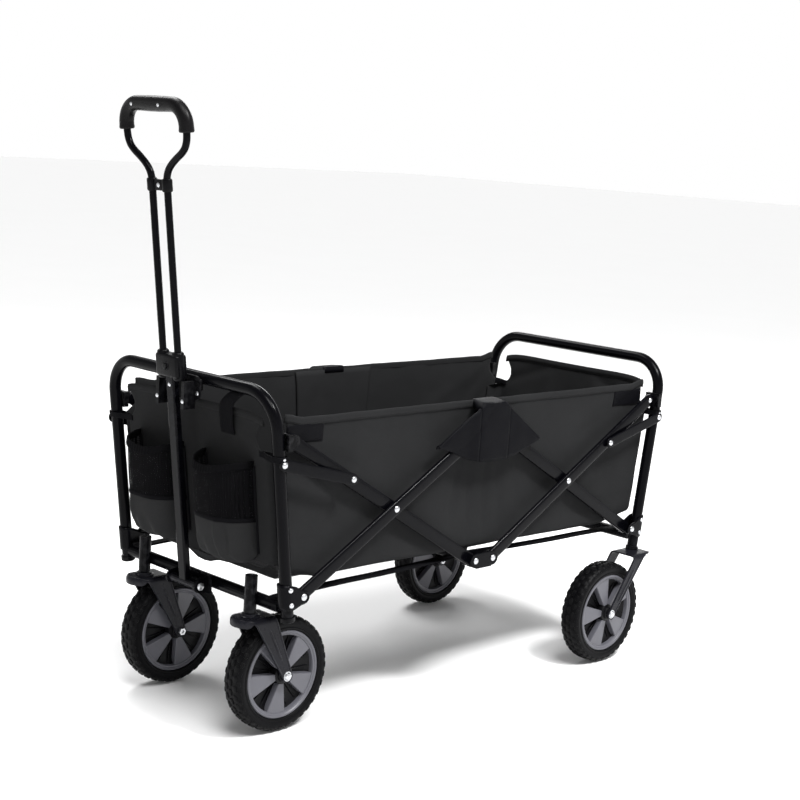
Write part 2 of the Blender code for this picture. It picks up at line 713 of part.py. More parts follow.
def make_handle_lower():
    """The hinge sleeve and the flat bar that stands on it. The rods slide down past the bar."""
    sleeve = round_bar((HANDLE_X, -0.0315, HANDLE_Z), (HANDLE_X, 0.0315, HANDLE_Z), 0.0072)
    half = [(0.0085, 0.0), (LOWER_BAR_HALF, 0.040), (LOWER_BAR_HALF, LOWER_BAR_TOP)]
    outline = half + [(-y, t) for y, t in reversed(half)]
    weld_on(sleeve, soften(flat_piece(outline, LOWER_BAR_DEPTH, HANDLE_PLANE), 0.0025))
    cut(sleeve, round_bar((HANDLE_X, -0.04, HANDLE_Z), (HANDLE_X, 0.04, HANDLE_Z), 0.0040, 16))
    add(sleeve, "handle_lower_bar", BODY["handle_lower"], "frame_black")


def handle_block(half_width, half_depth, t, holes):
    """A rounded block across the handle, bored for tubes of the given radii."""
    low, high = on_handle(t[0]), on_handle(t[1])
    middle = (Vector(low) + Vector(high)) / 2
    turn = Matrix.Rotation(-HANDLE_LEAN, 4, "Y")
    bm = bmesh.new()
    size = Matrix.Diagonal((2 * half_depth, 2 * half_width, t[1] - t[0], 1))
    bmesh.ops.create_cube(bm, size=1.0, matrix=Matrix.Translation(middle) @ turn @ size)
    block = soften(object_from_bmesh(bm, "block"), 0.0035)
    for radius, start, end in holes:
        for side in SIDE_NAMES:
            y = side * ROD_Y
            cut(block, round_bar(on_handle(start, y), on_handle(end, y), radius))
    return block


def make_handle_hub():
    """The plastic block on top of the lower bar, bored for the rods, and its latch button."""
    hub = handle_block(0.0262, 0.0105, HUB_T, [(ROD_RADIUS + 0.0004, HUB_T[0] - 0.01, HUB_T[1] + 0.01)])
    half, top = LOWER_BAR_HALF + 0.0004, LOWER_BAR_TOP + 0.0004
    slot = [(half, HUB_T[0] - 0.01), (half, top), (-half, top), (-half, HUB_T[0] - 0.01)]
    cut(hub, flat_piece(slot, LOWER_BAR_DEPTH + 0.0008, HANDLE_PLANE))
    middle = sum(HUB_T) / 2
    cut(hub, round_bar(on_handle(middle, 0, 0.0010), on_handle(middle, 0, 0.0200), 0.0052, 16))
    add(hub, "handle_hub", BODY["handle_lower"], "black_plastic")
    button = round_bar(on_handle(middle, 0, 0.0050), on_handle(middle, 0, 0.0135), 0.0047)
    add(soften(button, 0.0010), "latch_button", BODY["latch_button"], "zinc_steel")


def loop_path():
    """The rods and the hand loop above them, as one bent tube, in sideways and along-handle terms."""
    half = [(ROD_Y, ROD_BOTTOM), (ROD_Y, 0.6120)]
    half += [(0.0205, 0.6215), (0.0300, 0.6315), (0.0430, 0.6410), (0.0560, 0.6490), (0.0650, 0.6570)]
    half += [(0.0695, 0.6660), (GRIP_HALF, 0.6760)]
    half += arc((GRIP_HALF - 0.022, GRIP_T - 0.022), 0.022, 0, 90, 5)
    return half + [(-y, t) for y, t in reversed(half)]


def make_handle_upper():
    path = loop_path()
    rods = tube([on_handle(t, y) for y, t in path], ROD_RADIUS, 3)
    add(rods, "handle_rods_and_loop", BODY["handle_upper"], "frame_black")
    holes = [(ROD_RADIUS + 0.0004, COLLAR_T[0] - 0.01, COLLAR_T[1] + 0.01)]
    collar = handle_block(0.0265, 0.0085, COLLAR_T, holes)
    add(collar, "handle_collar", BODY["handle_upper"], "black_plastic")


def make_grip():
    """A thick plastic grip round the top of the loop, reaching down both of its shoulders."""
    half = [(GRIP_HALF, 0.6830), *arc((GRIP_HALF - 0.022, GRIP_T - 0.022), 0.022, 0, 90, 5)]
    path = half + [(-y, t) for y, t in reversed(half)]
    grip = tube([on_handle(t, y) for y, t in path], 0.0118, 2)
    bore_half = [(GRIP_HALF, 0.6700), *half[1:]]
    bore = bore_half + [(-y, t) for y, t in reversed(bore_half)]
    cut(grip, tube([on_handle(t, y) for y, t in bore], ROD_RADIUS + 0.0005, 3))
    add(grip, "handle_grip", BODY["handle_upper"], "black_plastic")


# ---------------------------------------------------------------------------------------------
# Fabric bin, as plain panels


def lean_box(end, depth, y, z):
    """A box that leans with an end loop: depth is its distance from the leg axis, inwards negative."""
    bm = bmesh.new()
    bmesh.ops.create_cube(bm, size=1.0)
    for vert in bm.verts:
        height = z[1] if vert.co.z > 0 else z[0]
        out = depth[1] if vert.co.x > 0 else depth[0]
        vert.co = (end * (leg_x(height) + out), y[1] if vert.co.y > 0 else y[0], height)
    return object_from_bmesh(bm, "lean_box")


def make_bin():
    """The sides and floor as one trough, the two end panels and the board that lies on the floor."""
    inside, outside = FABRIC_OUTER - CLOTH, FABRIC_OUTER
    floor_top = BIN_BOTTOM + CLOTH
    outline = [(-outside, BIN_TOP), (-outside, BIN_BOTTOM), (outside, BIN_BOTTOM), (outside, BIN_TOP)]
    outline += [(inside, BIN_TOP), (inside, floor_top), (-inside, floor_top), (-inside, BIN_TOP)]
    middle = Matrix.Translation(((BIN_FRONT + BIN_REAR) / 2, 0, 0))
    add(flat_piece(outline, BIN_REAR - BIN_FRONT, middle @ ACROSS), "fabric_trough", ROOT, "bin_fabric")
    for end in END_NAMES:
        panel = lean_box(end, (-0.004, 0.0), (-0.178, 0.178), END_PANEL_Z)
        add(panel, f"fabric_{END_NAMES[end]}_panel", END_BODY[end], "bin_fabric")
    board = box((BIN_FRONT + 0.004, BIN_REAR - 0.004), (-0.172, 0.172), (BIN_BOTTOM + CLOTH + 0.0004, 0.2480))
    add(board, "base_board", ROOT, "base_board")


def make_pocket(side):
    """A bottle pocket on the front panel, open at the top."""
    y = sorted(side * edge for edge in POCKET_Y)
    pocket = lean_box(FRONT, (0.0004, POCKET_DEPTH), y, POCKET_Z)
    inner_y = (y[0] + 0.003, y[1] - 0.003)
    inner_z = (POCKET_Z[0] + 0.003, POCKET_Z[1] + 0.02)
    cut(pocket, lean_box(FRONT, (-0.02, POCKET_DEPTH - 0.003), inner_y, inner_z))
    add(pocket, f"pocket_{SIDE_NAMES[side]}", BODY["front_frame"], "pocket_mesh")


def make_sleeve(side):
    """The triangular fabric cover over a top bracket, with an arm along each bar."""
    outline = [(0, 0.500), (-0.052, 0.462), (-0.118, 0.424), (-0.108, 0.404), (-0.040, 0.398), (0, 0.394)]
    outline += [(0.040, 0.398), (0.098, 0.404), (0.108, 0.424), (0.052, 0.462)]
    sleeve = side_plate(outline, side, (0.2170, 0.2200))
    add(sleeve, f"fabric_sleeve_{SIDE_NAMES[side]}", BODY["top_centre"], "bin_fabric")


# ---------------------------------------------------------------------------------------------

for wagon_end in END_NAMES:
    make_end_loop(wagon_end)
    for wagon_side in SIDE_NAMES:
        make_corner_bracket(wagon_end, wagon_side)
        make_crossed_bars(wagon_end, wagon_side)
        make_arm_saddle(wagon_end, wagon_side)
        make_link(wagon_end, wagon_side)
make_front_cross_tube()
make_rear_cross_tube()
make_low_carriage()
make_handle_bracket()
make_handle_holder()
make_handle_lower()
make_handle_hub()
make_handle_upper()
make_grip()
make_bin()
for wagon_side in SIDE_NAMES:
    make_top_bracket(wagon_side)
    make_sleeve(wagon_side)
    make_pocket(wagon_side)
    make_caster(wagon_side)
    make_rear_wheel(wagon_side)

ROOT.location.x = CENTRE_X
bpy.context.view_layer.update()
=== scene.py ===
"""Looks of the folding wagon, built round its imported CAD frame.

Shapes are made with X measured from the middle of the crossed bars; piece() then moves them to the
row frame. X runs from the handle (-X) to the rear (+X), Y to the far side, Z up. Lengths are metres.
"""

import json
from math import atan, copysign, cos, exp, pi, radians, sin, sqrt

import bmesh
import bpy
from mathutils import Matrix, Vector, noise
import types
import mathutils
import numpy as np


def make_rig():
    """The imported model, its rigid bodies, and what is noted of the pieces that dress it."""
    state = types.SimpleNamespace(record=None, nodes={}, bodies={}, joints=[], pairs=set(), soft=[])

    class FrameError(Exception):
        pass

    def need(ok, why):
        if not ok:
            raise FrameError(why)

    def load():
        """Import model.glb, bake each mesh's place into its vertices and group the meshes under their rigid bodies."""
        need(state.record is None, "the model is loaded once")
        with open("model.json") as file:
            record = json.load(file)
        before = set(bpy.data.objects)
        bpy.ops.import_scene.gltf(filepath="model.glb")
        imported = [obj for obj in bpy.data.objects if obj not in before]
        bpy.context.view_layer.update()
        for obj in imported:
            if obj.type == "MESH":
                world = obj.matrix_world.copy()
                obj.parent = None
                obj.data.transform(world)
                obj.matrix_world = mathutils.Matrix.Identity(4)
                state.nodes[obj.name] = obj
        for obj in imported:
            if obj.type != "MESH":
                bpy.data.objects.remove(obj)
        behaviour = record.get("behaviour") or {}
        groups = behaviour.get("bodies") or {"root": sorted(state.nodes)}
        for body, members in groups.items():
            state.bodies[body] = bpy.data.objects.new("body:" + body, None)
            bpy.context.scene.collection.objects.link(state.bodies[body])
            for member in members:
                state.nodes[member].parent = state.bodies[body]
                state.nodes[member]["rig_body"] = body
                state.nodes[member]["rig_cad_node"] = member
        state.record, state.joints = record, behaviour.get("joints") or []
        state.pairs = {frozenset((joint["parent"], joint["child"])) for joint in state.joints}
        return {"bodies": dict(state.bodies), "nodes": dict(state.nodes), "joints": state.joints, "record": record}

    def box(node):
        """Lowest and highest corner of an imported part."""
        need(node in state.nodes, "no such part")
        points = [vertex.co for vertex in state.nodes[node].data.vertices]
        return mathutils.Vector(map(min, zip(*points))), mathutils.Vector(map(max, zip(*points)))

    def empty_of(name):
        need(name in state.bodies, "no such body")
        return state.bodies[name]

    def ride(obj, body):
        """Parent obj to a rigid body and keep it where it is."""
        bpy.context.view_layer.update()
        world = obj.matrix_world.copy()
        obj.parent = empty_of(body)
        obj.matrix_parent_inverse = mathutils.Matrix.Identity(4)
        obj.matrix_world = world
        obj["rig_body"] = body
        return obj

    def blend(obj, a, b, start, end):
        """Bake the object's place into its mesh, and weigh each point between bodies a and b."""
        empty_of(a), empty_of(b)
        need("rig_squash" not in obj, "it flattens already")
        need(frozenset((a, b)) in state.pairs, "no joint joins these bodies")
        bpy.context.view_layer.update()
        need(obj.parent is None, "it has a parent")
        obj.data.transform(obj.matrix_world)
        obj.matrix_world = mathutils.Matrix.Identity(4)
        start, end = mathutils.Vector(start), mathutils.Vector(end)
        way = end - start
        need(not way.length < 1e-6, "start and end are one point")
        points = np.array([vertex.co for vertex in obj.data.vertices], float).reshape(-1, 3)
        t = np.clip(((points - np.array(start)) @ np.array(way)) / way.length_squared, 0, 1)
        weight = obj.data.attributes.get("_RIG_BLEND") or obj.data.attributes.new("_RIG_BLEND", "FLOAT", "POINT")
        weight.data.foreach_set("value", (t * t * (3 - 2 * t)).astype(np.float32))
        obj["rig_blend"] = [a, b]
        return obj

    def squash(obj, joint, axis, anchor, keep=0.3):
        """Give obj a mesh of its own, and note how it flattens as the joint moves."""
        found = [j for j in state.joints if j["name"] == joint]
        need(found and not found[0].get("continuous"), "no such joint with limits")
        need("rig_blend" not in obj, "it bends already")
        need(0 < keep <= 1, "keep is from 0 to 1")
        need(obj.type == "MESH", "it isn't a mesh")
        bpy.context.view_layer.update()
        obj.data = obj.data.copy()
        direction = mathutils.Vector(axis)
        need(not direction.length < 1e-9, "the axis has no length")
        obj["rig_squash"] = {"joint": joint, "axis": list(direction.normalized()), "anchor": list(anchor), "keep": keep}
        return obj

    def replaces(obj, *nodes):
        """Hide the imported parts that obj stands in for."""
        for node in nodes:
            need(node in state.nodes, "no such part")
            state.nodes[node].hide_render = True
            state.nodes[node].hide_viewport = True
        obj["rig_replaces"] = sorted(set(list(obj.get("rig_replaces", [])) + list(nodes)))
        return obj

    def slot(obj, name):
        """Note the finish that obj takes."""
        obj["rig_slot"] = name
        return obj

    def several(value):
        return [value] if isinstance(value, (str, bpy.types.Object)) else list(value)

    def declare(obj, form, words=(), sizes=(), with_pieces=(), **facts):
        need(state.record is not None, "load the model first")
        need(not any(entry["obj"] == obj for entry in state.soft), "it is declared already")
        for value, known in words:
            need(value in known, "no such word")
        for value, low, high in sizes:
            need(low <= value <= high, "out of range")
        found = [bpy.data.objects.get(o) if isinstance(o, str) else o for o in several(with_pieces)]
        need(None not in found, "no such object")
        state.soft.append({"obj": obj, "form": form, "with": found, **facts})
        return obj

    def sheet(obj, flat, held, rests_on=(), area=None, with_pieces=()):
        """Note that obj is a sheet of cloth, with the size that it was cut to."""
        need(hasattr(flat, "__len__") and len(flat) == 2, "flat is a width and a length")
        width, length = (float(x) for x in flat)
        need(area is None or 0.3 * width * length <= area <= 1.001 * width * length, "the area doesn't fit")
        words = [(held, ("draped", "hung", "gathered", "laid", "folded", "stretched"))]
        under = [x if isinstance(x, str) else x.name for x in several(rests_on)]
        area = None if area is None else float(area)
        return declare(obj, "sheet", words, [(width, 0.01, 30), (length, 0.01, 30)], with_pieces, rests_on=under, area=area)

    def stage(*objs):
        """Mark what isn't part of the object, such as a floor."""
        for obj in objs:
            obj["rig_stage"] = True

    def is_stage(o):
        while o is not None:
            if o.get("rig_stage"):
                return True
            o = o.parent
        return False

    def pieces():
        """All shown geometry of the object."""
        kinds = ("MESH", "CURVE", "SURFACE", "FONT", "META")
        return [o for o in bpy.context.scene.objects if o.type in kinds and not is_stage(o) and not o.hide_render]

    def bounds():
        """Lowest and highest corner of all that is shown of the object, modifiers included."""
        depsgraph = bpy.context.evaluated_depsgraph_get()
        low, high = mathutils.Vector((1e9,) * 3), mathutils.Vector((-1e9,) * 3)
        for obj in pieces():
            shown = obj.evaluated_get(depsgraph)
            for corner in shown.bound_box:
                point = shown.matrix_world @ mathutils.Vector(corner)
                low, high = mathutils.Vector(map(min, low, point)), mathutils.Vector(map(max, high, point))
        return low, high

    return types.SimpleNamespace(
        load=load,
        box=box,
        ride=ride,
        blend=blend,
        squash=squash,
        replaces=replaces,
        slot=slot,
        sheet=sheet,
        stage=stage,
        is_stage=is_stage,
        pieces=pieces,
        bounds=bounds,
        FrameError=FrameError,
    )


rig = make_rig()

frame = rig.load()
CAD_BOX = [list(corner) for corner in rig.bounds()]

SIDES = {"near": -1, "far": 1}
ENDS = {"front": -1, "rear": 1}


def middle(node):
    low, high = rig.box(node)
    return (low + high) / 2


CENTRE_X = middle("low_centre_carriage").x

# Pivots, heights and angles, as the CAD has them.
BAR_ANGLE = radians(30.2)
PIVOT_SPACING = 0.2149
UPPER_ARM = 0.2473
CENTRE_PIN = 0.0205
LOW_Z = 0.229
LOOP_TOP = 0.530
LOOP_CORNER = 0.056
LINK_PIN_Z = 0.430
LINK_ALONG_ARM = 0.116
WHEEL_Z = 0.090
CASTER_X = -0.428
FRONT_PLATE_Z = 0.1855
REAR_PLATE_Z = 0.1865
HANDLE_X = -0.448
HANDLE_Z = 0.2115
HANDLE_LEAN = atan(0.125)
HUB_CENTRE = 0.338
COLLAR_CENTRE = 0.6020
BIN_TOP = 0.492
FLOOR_Z = 0.2395

# Distances the looks set for themselves. Most differ a little from the CAD's: the tubes are slimmer, and
# the flat bars have their own layers, each given by its inner and outer distance from the middle plane.
LOOP_RADIUS = 0.0094
LOOP_HALF_WIDTH = 0.1985
INNER_EAR = (0.1852, 0.1870)
INNER_BAR = (0.1880, 0.1960)
OUTER_BAR = (0.1970, 0.2050)
CHANNEL_EAR = 0.2062
OUTER_EAR = (0.2082, 0.2100)
LINK_LAYER = (0.2084, 0.2112)
SLEEVE_FACE = 0.2104
FORK_HALF = 0.0260
FORK_FACE = 0.0278
ROD_Y = 0.018
BIN_SIDE = 0.1815
TIE_Z = 0.4375

# The bin flattens towards this place as the wagon folds, to this share of its length.
FOLD_ANCHOR = (0.410 + CENTRE_X, 0.0, 0.0)
FOLD_KEEP = 0.234


def leg_x(z):
    return 0.4165 + 0.13 * (z - LOW_Z)


def on_handle(t, y=0.0, out=0.0):
    lean, rise = sin(HANDLE_LEAN), cos(HANDLE_LEAN)
    return Vector((HANDLE_X - lean * t - rise * out, y, HANDLE_Z + rise * t - lean * out))


def bar_pivots(end):
    run, rise = cos(BAR_ANGLE), sin(BAR_ANGLE)
    crossing = (end * (CENTRE_PIN + PIVOT_SPACING * run), LOW_Z + PIVOT_SPACING * rise)
    return {
        "centre_low": (end * CENTRE_PIN, LOW_Z),
        "crossing": crossing,
        "centre_top": (end * CENTRE_PIN, LOW_Z + 2 * PIVOT_SPACING * rise),
        "corner": (end * (CENTRE_PIN + 2 * PIVOT_SPACING * run), LOW_Z),
        "arm_end": (crossing[0] + end * UPPER_ARM * run, crossing[1] + UPPER_ARM * rise),
        "link": (crossing[0] + end * LINK_ALONG_ARM * run, crossing[1] + LINK_ALONG_ARM * rise),
        "leg": (end * leg_x(LINK_PIN_Z), LINK_PIN_Z),
    }


def lerp(a, b, t):
    return a + (b - a) * t


def smooth(t):
    t = min(1.0, max(0.0, t))
    return t * t * (3 - 2 * t)


def through(table, x):
    """Straight lines between (x, value) points."""
    if x <= table[0][0]:
        return table[0][1]
    for (x0, v0), (x1, v1) in zip(table, table[1:]):
        if x <= x1:
            return lerp(v0, v1, (x - x0) / (x1 - x0))
    return table[-1][1]


# ---- Materials

SLOTS = {}


class Finish:
    """A material's node tree, with short ways to add to it."""

    def __init__(self, name, slot=None, shine=None, metallic=None):
        self.material = bpy.data.materials.new(name)
        self.material.use_nodes = True
        self.tree = self.material.node_tree
        self.shader = self.tree.nodes["Principled BSDF"]
        for socket, value in (("Specular IOR Level", shine), ("Metallic", metallic)):
            if value is not None:
                self.shader.inputs[socket].default_value = value
        self.place = self.add("ShaderNodeTexCoord").outputs["Object"]
        SLOTS[self.material.name] = slot

    def add(self, kind, inputs=(), **settings):
        node = self.tree.nodes.new(kind)
        for key, value in settings.items():
            setattr(node, key, value)
        for socket, value in dict(inputs).items():
            self.put(node.inputs[socket], value)
        return node

    def put(self, socket, value):
        if isinstance(value, bpy.types.NodeSocket):
            self.tree.links.new(value, socket)
        else:
            socket.default_value = value

    def maths(self, operation, a, b=0.0):
        return self.add("ShaderNodeMath", {0: a, 1: b}, operation=operation).outputs[0]

    def noise(self, scale, detail=3.0):
        inputs = {"Vector": self.place, "Scale": scale, "Detail": detail}
        return self.add("ShaderNodeTexNoise", inputs).outputs["Fac"]

    def ramp(self, value, start, end, low=0.0, high=1.0):
        inputs = {0: value, 1: start, 2: end, 3: low, 4: high}
        return self.add("ShaderNodeMapRange", inputs).outputs[0]

    def mix(self, share, a, b):
        inputs = {0: share, 6: a, 7: b}
        return self.add("ShaderNodeMix", inputs, data_type="RGBA").outputs[2]

    def tint(self, colour, spread, share):
        """A colour that wanders by a share of itself either way."""
        dark, light = ((*[c * gain for c in colour], 1.0) for gain in (1 - spread, 1 + spread))
        return self.mix(share, dark, light)

    def bump(self, height, distance, strength=1.0, before=None):
        inputs = {"Height": height, "Distance": distance, "Strength": strength}
        if before is not None:
            inputs["Normal"] = before
        return self.add("ShaderNodeBump", inputs).outputs["Normal"]

    def axes(self, pitch):
        """The place along X, Y and Z as angles, one turn per pitch."""
        scaled = self.add("ShaderNodeVectorMath", {0: self.place, 3: 2 * pi / pitch}, operation="SCALE")
        split = self.add("ShaderNodeSeparateXYZ", {0: scaled.outputs[0]})
        return [self.maths("SINE", split.outputs[i]) for i in range(3)]

    def finish(self, colour, roughness, normal):
        self.put(self.shader.inputs["Base Color"], colour)
        self.put(self.shader.inputs["Roughness"], roughness)
        self.put(self.shader.inputs["Normal"], normal)
        return self.material


def hard_finish(
    name, slot, colour, roughness, grain, depth, shine=None, spread=0.15, wear=None, metallic=None
):
    """Paint, plastic, rubber or plated steel: a wandering tint, fine grain, scuffs and worn edges."""
    f = Finish(name, slot, shine, metallic)
    scuff = 0.06
    broad, fine = f.noise(14.0, 4.0), f.noise(grain, 2.0)
    base = f.tint(colour, spread, broad)
    if wear is not None:
        edge = f.add("ShaderNodeNewGeometry").outputs["Pointiness"]
        worn = f.maths("MULTIPLY", f.ramp(edge, 0.53, 0.62), f.ramp(f.noise(120.0), 0.42, 0.62))
        base = f.mix(worn, base, (*wear, 1.0))
    rough = f.ramp(f.noise(55.0, 5.0), 0.3, 0.75, roughness - scuff, roughness + scuff)
    ripple = f.bump(broad, 0.0004, 0.25)
    return f.finish(base, rough, f.bump(fine, depth, 1.0, ripple))


def cloth_finish(name, slot, colour, pitch, depth, shine, roughness=0.9, holes=None):
    """Woven cloth: threads both ways on any upright or level face, slubs and faint dust."""
    f = Finish(name, slot, shine)
    x, y, z = f.axes(pitch)
    weave = f.maths("ADD", f.maths("MULTIPLY", x, z), f.maths("MULTIPLY", y, z))
    weave = f.maths("ADD", weave, f.maths("MULTIPLY", x, y))
    threads = f.ramp(weave, -1.2, 1.2)
    slubs = f.noise(420.0, 2.0)
    broad = f.noise(7.0, 4.0)
    share = f.maths("ADD", f.maths("MULTIPLY", threads, 0.55), f.maths("MULTIPLY", slubs, 0.45))
    base = f.tint(colour, 0.14, share)
    dust = f.ramp(broad, 0.45, 0.8, 0.0, 0.22)
    base = f.mix(dust, base, (*[min(1.0, c * 1.7 + 0.006) for c in colour], 1.0))
    rough = f.ramp(slubs, 0.2, 0.8, roughness - 0.05, roughness + 0.05)
    soft = f.bump(f.noise(38.0, 3.0), 0.0016, 0.35)
    if holes:
        _, hy, hz = f.axes(holes)
        grid = f.maths("MAXIMUM", f.maths("ABSOLUTE", hy), f.maths("ABSOLUTE", hz))
        f.put(f.shader.inputs["Alpha"], f.ramp(grid, 0.60, 0.72, 0.45, 1.0))
    return f.finish(base, rough, f.bump(threads, depth, 0.8, soft))


# Name, slot, colour, roughness, grain scale and depth, shine.
FRAME_BLACK = hard_finish(
    "frame_black_paint", "frame_black", (0.0018, 0.0018, 0.0025), 0.22, 1400, 0.00002, 0.06,
    wear=(0.014, 0.014, 0.016),
)
BAR_BLACK = hard_finish(
    "bar_black_paint", "bar_black", (0.0014, 0.0014, 0.0022), 0.21, 1400, 0.00002, 0.08,
    wear=(0.016, 0.016, 0.020),
)
FORK_BLACK = hard_finish(
    "fork_grey_black_paint", "frame_black", (0.0085, 0.0085, 0.0115), 0.30, 1200, 0.00002, 0.14,
    wear=(0.03, 0.03, 0.035),
)
STEEL = hard_finish(
    "zinc_steel", "zinc_steel", (0.60, 0.61, 0.63), 0.28, 700, 0.00002, spread=0.08, metallic=0.9
)
TYRE = hard_finish(
    "tyre_rubber", "tyre_rubber", (0.0026, 0.0026, 0.0031), 0.48, 650, 0.00005, 0.07,
    spread=0.25, wear=(0.010, 0.010, 0.010),
)
RIM = hard_finish("rim_grey_plastic", "rim_plastic", (0.0900, 0.0900, 0.1040), 0.38, 1100, 0.00003, 0.4, 0.07)
# Near-black painted shade for the rim's recess floor, hub boss and ribs: the shadow inside the recesses, not the
# plastic's own grey.
RIM_RECESS_SHADE = hard_finish("rim_dark_plastic", "rim_plastic", (0.0024, 0.0024, 0.0032), 0.42, 1100, 0.00003, 0.15)
PLASTIC = hard_finish(
    "black_plastic", "black_plastic", (0.0020, 0.0020, 0.0025), 0.30, 1500, 0.00004, 0.08,
    wear=(0.010, 0.010, 0.011),
)
GRIP = hard_finish("grip_plastic", "black_plastic", (0.0036, 0.0033, 0.0037), 0.34, 1000, 0.00007, 0.11)
# Name, slot, colour, thread pitch, weave depth, shine.
FABRIC = cloth_finish("bin_polyester", "bin_fabric", (0.0126, 0.0128, 0.0134), 0.0018, 0.00014, 0.12)
LINING = cloth_finish("pocket_polyester", "bin_fabric", (0.0170, 0.0172, 0.0178), 0.0018, 0.00014, 0.12)
NYLON = cloth_finish("sleeve_nylon", "bin_fabric", (0.0026, 0.0026, 0.0036), 0.0011, 0.00007, 0.05, 0.55)
TAPE = cloth_finish("edge_tape", "bin_fabric", (0.0034, 0.0034, 0.0042), 0.0014, 0.00018, 0.05, 0.8)
ELASTIC = cloth_finish("pocket_elastic", "pocket_mesh", (0.0026, 0.0026, 0.0031), 0.0021, 0.0004, 0.04, 0.85)
MESH = cloth_finish(
    "pocket_mesh", "pocket_mesh", (0.0026, 0.0026, 0.0031), 0.0032, 0.00025, 0.04, 0.8, holes=0.0056
)
THREAD = cloth_finish("stitch_thread", "bin_fabric", (0.0210, 0.0210, 0.0225), 0.0009, 0.0001, 0.15, 0.7)
BOARD = cloth_finish("board_cover", "base_board", (0.0150, 0.0152, 0.0160), 0.0022, 0.00016, 0.12)


# ---- Shapes


def piece(name, bm, body, material, stands_for=(), sharp=38.0, slot=None):
    """Sets a finished mesh down in the row frame, on its body, in its finish's slot if no other is given."""
    bmesh.ops.recalc_face_normals(bm, faces=bm.faces)
    bmesh.ops.translate(bm, verts=bm.verts, vec=(CENTRE_X, 0, 0))
    mesh = bpy.data.meshes.new(name)
    bm.to_mesh(mesh)
    bm.free()
    mesh.materials.append(material)
    mesh.shade_smooth()
    mesh.set_sharp_from_angle(angle=radians(sharp))
    obj = bpy.data.objects.new(name, mesh)
    bpy.context.scene.collection.objects.link(obj)
    if body is not None:
        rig.ride(obj, body)
    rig.slot(obj, slot or SLOTS[material.name])
    if stands_for:
        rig.replaces(obj, *stands_for)
    return obj


def bridge(bm, rings, closed_ring=True, closed_path=False):
    """Faces between successive rings of vertices. A ring of one vertex is a pole."""
    pairs = list(zip(rings, rings[1:])) + ([(rings[-1], rings[0])] if closed_path else [])
    for a, b in pairs:
        count = max(len(a), len(b))
        for i in range(count if closed_ring else count - 1):
            j = (i + 1) % count
            corners = [a[i % len(a)], a[j % len(a)], b[j % len(b)], b[i % len(b)]]
            bm.faces.new(list(dict.fromkeys(corners)))


def add_tube(bm, points, radius, sides=24):
    """A round tube along points; radius may be a list, one for each point."""
    points = [Vector(p) for p in points]
    heading = (points[1] - points[0]).normalized()
    across = heading.cross(Vector((0, 1, 0)))
    across = across.normalized() if across.length > 0.2 else heading.cross(Vector((0, 0, 1))).normalized()
    rings = []
    for i, point in enumerate(points):
        tangent = (points[min(i + 1, len(points) - 1)] - points[max(i - 1, 0)]).normalized()
        across = heading.rotation_difference(tangent) @ across
        heading = tangent
        up = heading.cross(across)
        r = radius[i] if isinstance(radius, list) else radius
        angles = [2 * pi * k / sides for k in range(sides)]
        rings.append([bm.verts.new(point + r * (cos(a) * across + sin(a) * up)) for a in angles])
    bridge(bm, rings)
    bm.faces.new(rings[0])
    bm.faces.new(rings[-1])


def add_turned(bm, profile, place, segments=32, closed=True):
    """A profile of (radius, height) points turned about a place's Z axis."""
    rings = []
    for radius, height in profile:
        count = segments if radius > 1e-6 else 1
        angles = [2 * pi * k / count for k in range(count)]
        ring = [Vector((radius * cos(a), radius * sin(a), height)) for a in angles]
        rings.append([bm.verts.new(place @ point) for point in ring])
    bridge(bm, rings, closed_path=closed)


def add_block(bm, size, place, bevel=0.002, segments=3):
    made = bmesh.ops.create_cube(bm, size=1.0, matrix=place @ Matrix.Diagonal((*size, 1)))
    edges = list(dict.fromkeys(e for v in made["verts"] for e in v.link_edges))
    how = {"profile": 0.5, "affect": "EDGES", "clamp_overlap": True}
    bmesh.ops.bevel(bm, geom=edges, offset=bevel, segments=segments, **how)


def add_sheet(bm, rows):
    """A grid of points, row by row."""
    made = [[bm.verts.new(p) for p in row] for row in rows]
    bridge(bm, made, closed_ring=False)


def facing(point, direction):
    """A place at a point whose Z axis looks in a direction."""
    return Matrix.Translation(point) @ Vector(direction).to_track_quat("Z", "Y").to_matrix().to_4x4()


def add_bar(bm, a, b, layer, side, width=0.021, boxy=0.50):
    """A flat-oval bar lying in a layer, rounded off about the pivots at its two ends."""
    start, end = Vector((a[0], 0, a[1])), Vector((b[0], 0, b[1]))
    along = (end - start).normalized()
    over = Vector((-along.z, 0, along.x))
    half, deep = width / 2, (layer[1] - layer[0]) / 2
    middle_y = Vector((0, side * (layer[0] + layer[1]) / 2, 0))
    turns = [radians(a) for a in (8, 25, 42, 58, 74, 90)]
    stations = [(-half * cos(t), sin(t)) for t in turns]
    length = (end - start).length
    stations += [(length * i / 12, 1.0) for i in range(1, 12)]
    stations += [(length + half * cos(t), sin(t)) for t in reversed(turns)]
    rings = []
    for s, share in stations:
        ring = []
        for k in range(20):
            c, v = cos(2 * pi * (k + 0.5) / 20), sin(2 * pi * (k + 0.5) / 20)
            c, v = copysign(abs(c) ** boxy, c), copysign(abs(v) ** boxy, v)
            thin = deep * (0.78 + 0.22 * share)
            point = start + along * s + over * half * share * c + middle_y + Vector((0, thin * v, 0))
            ring.append(bm.verts.new(point))
        rings.append(ring)
    bridge(bm, rings)
    bm.faces.new(rings[0])
    bm.faces.new(rings[-1])


def add_rivet(bm, point, direction, radius=0.0056, height=0.0026):
    profile = [(0, height), (radius * 0.45, height * 0.93), (radius * 0.8, height * 0.62)]
    profile += [(radius, height * 0.12), (radius, -0.0008), (0, -0.0008)]
    add_turned(bm, profile, facing(point, direction), 20, closed=False)


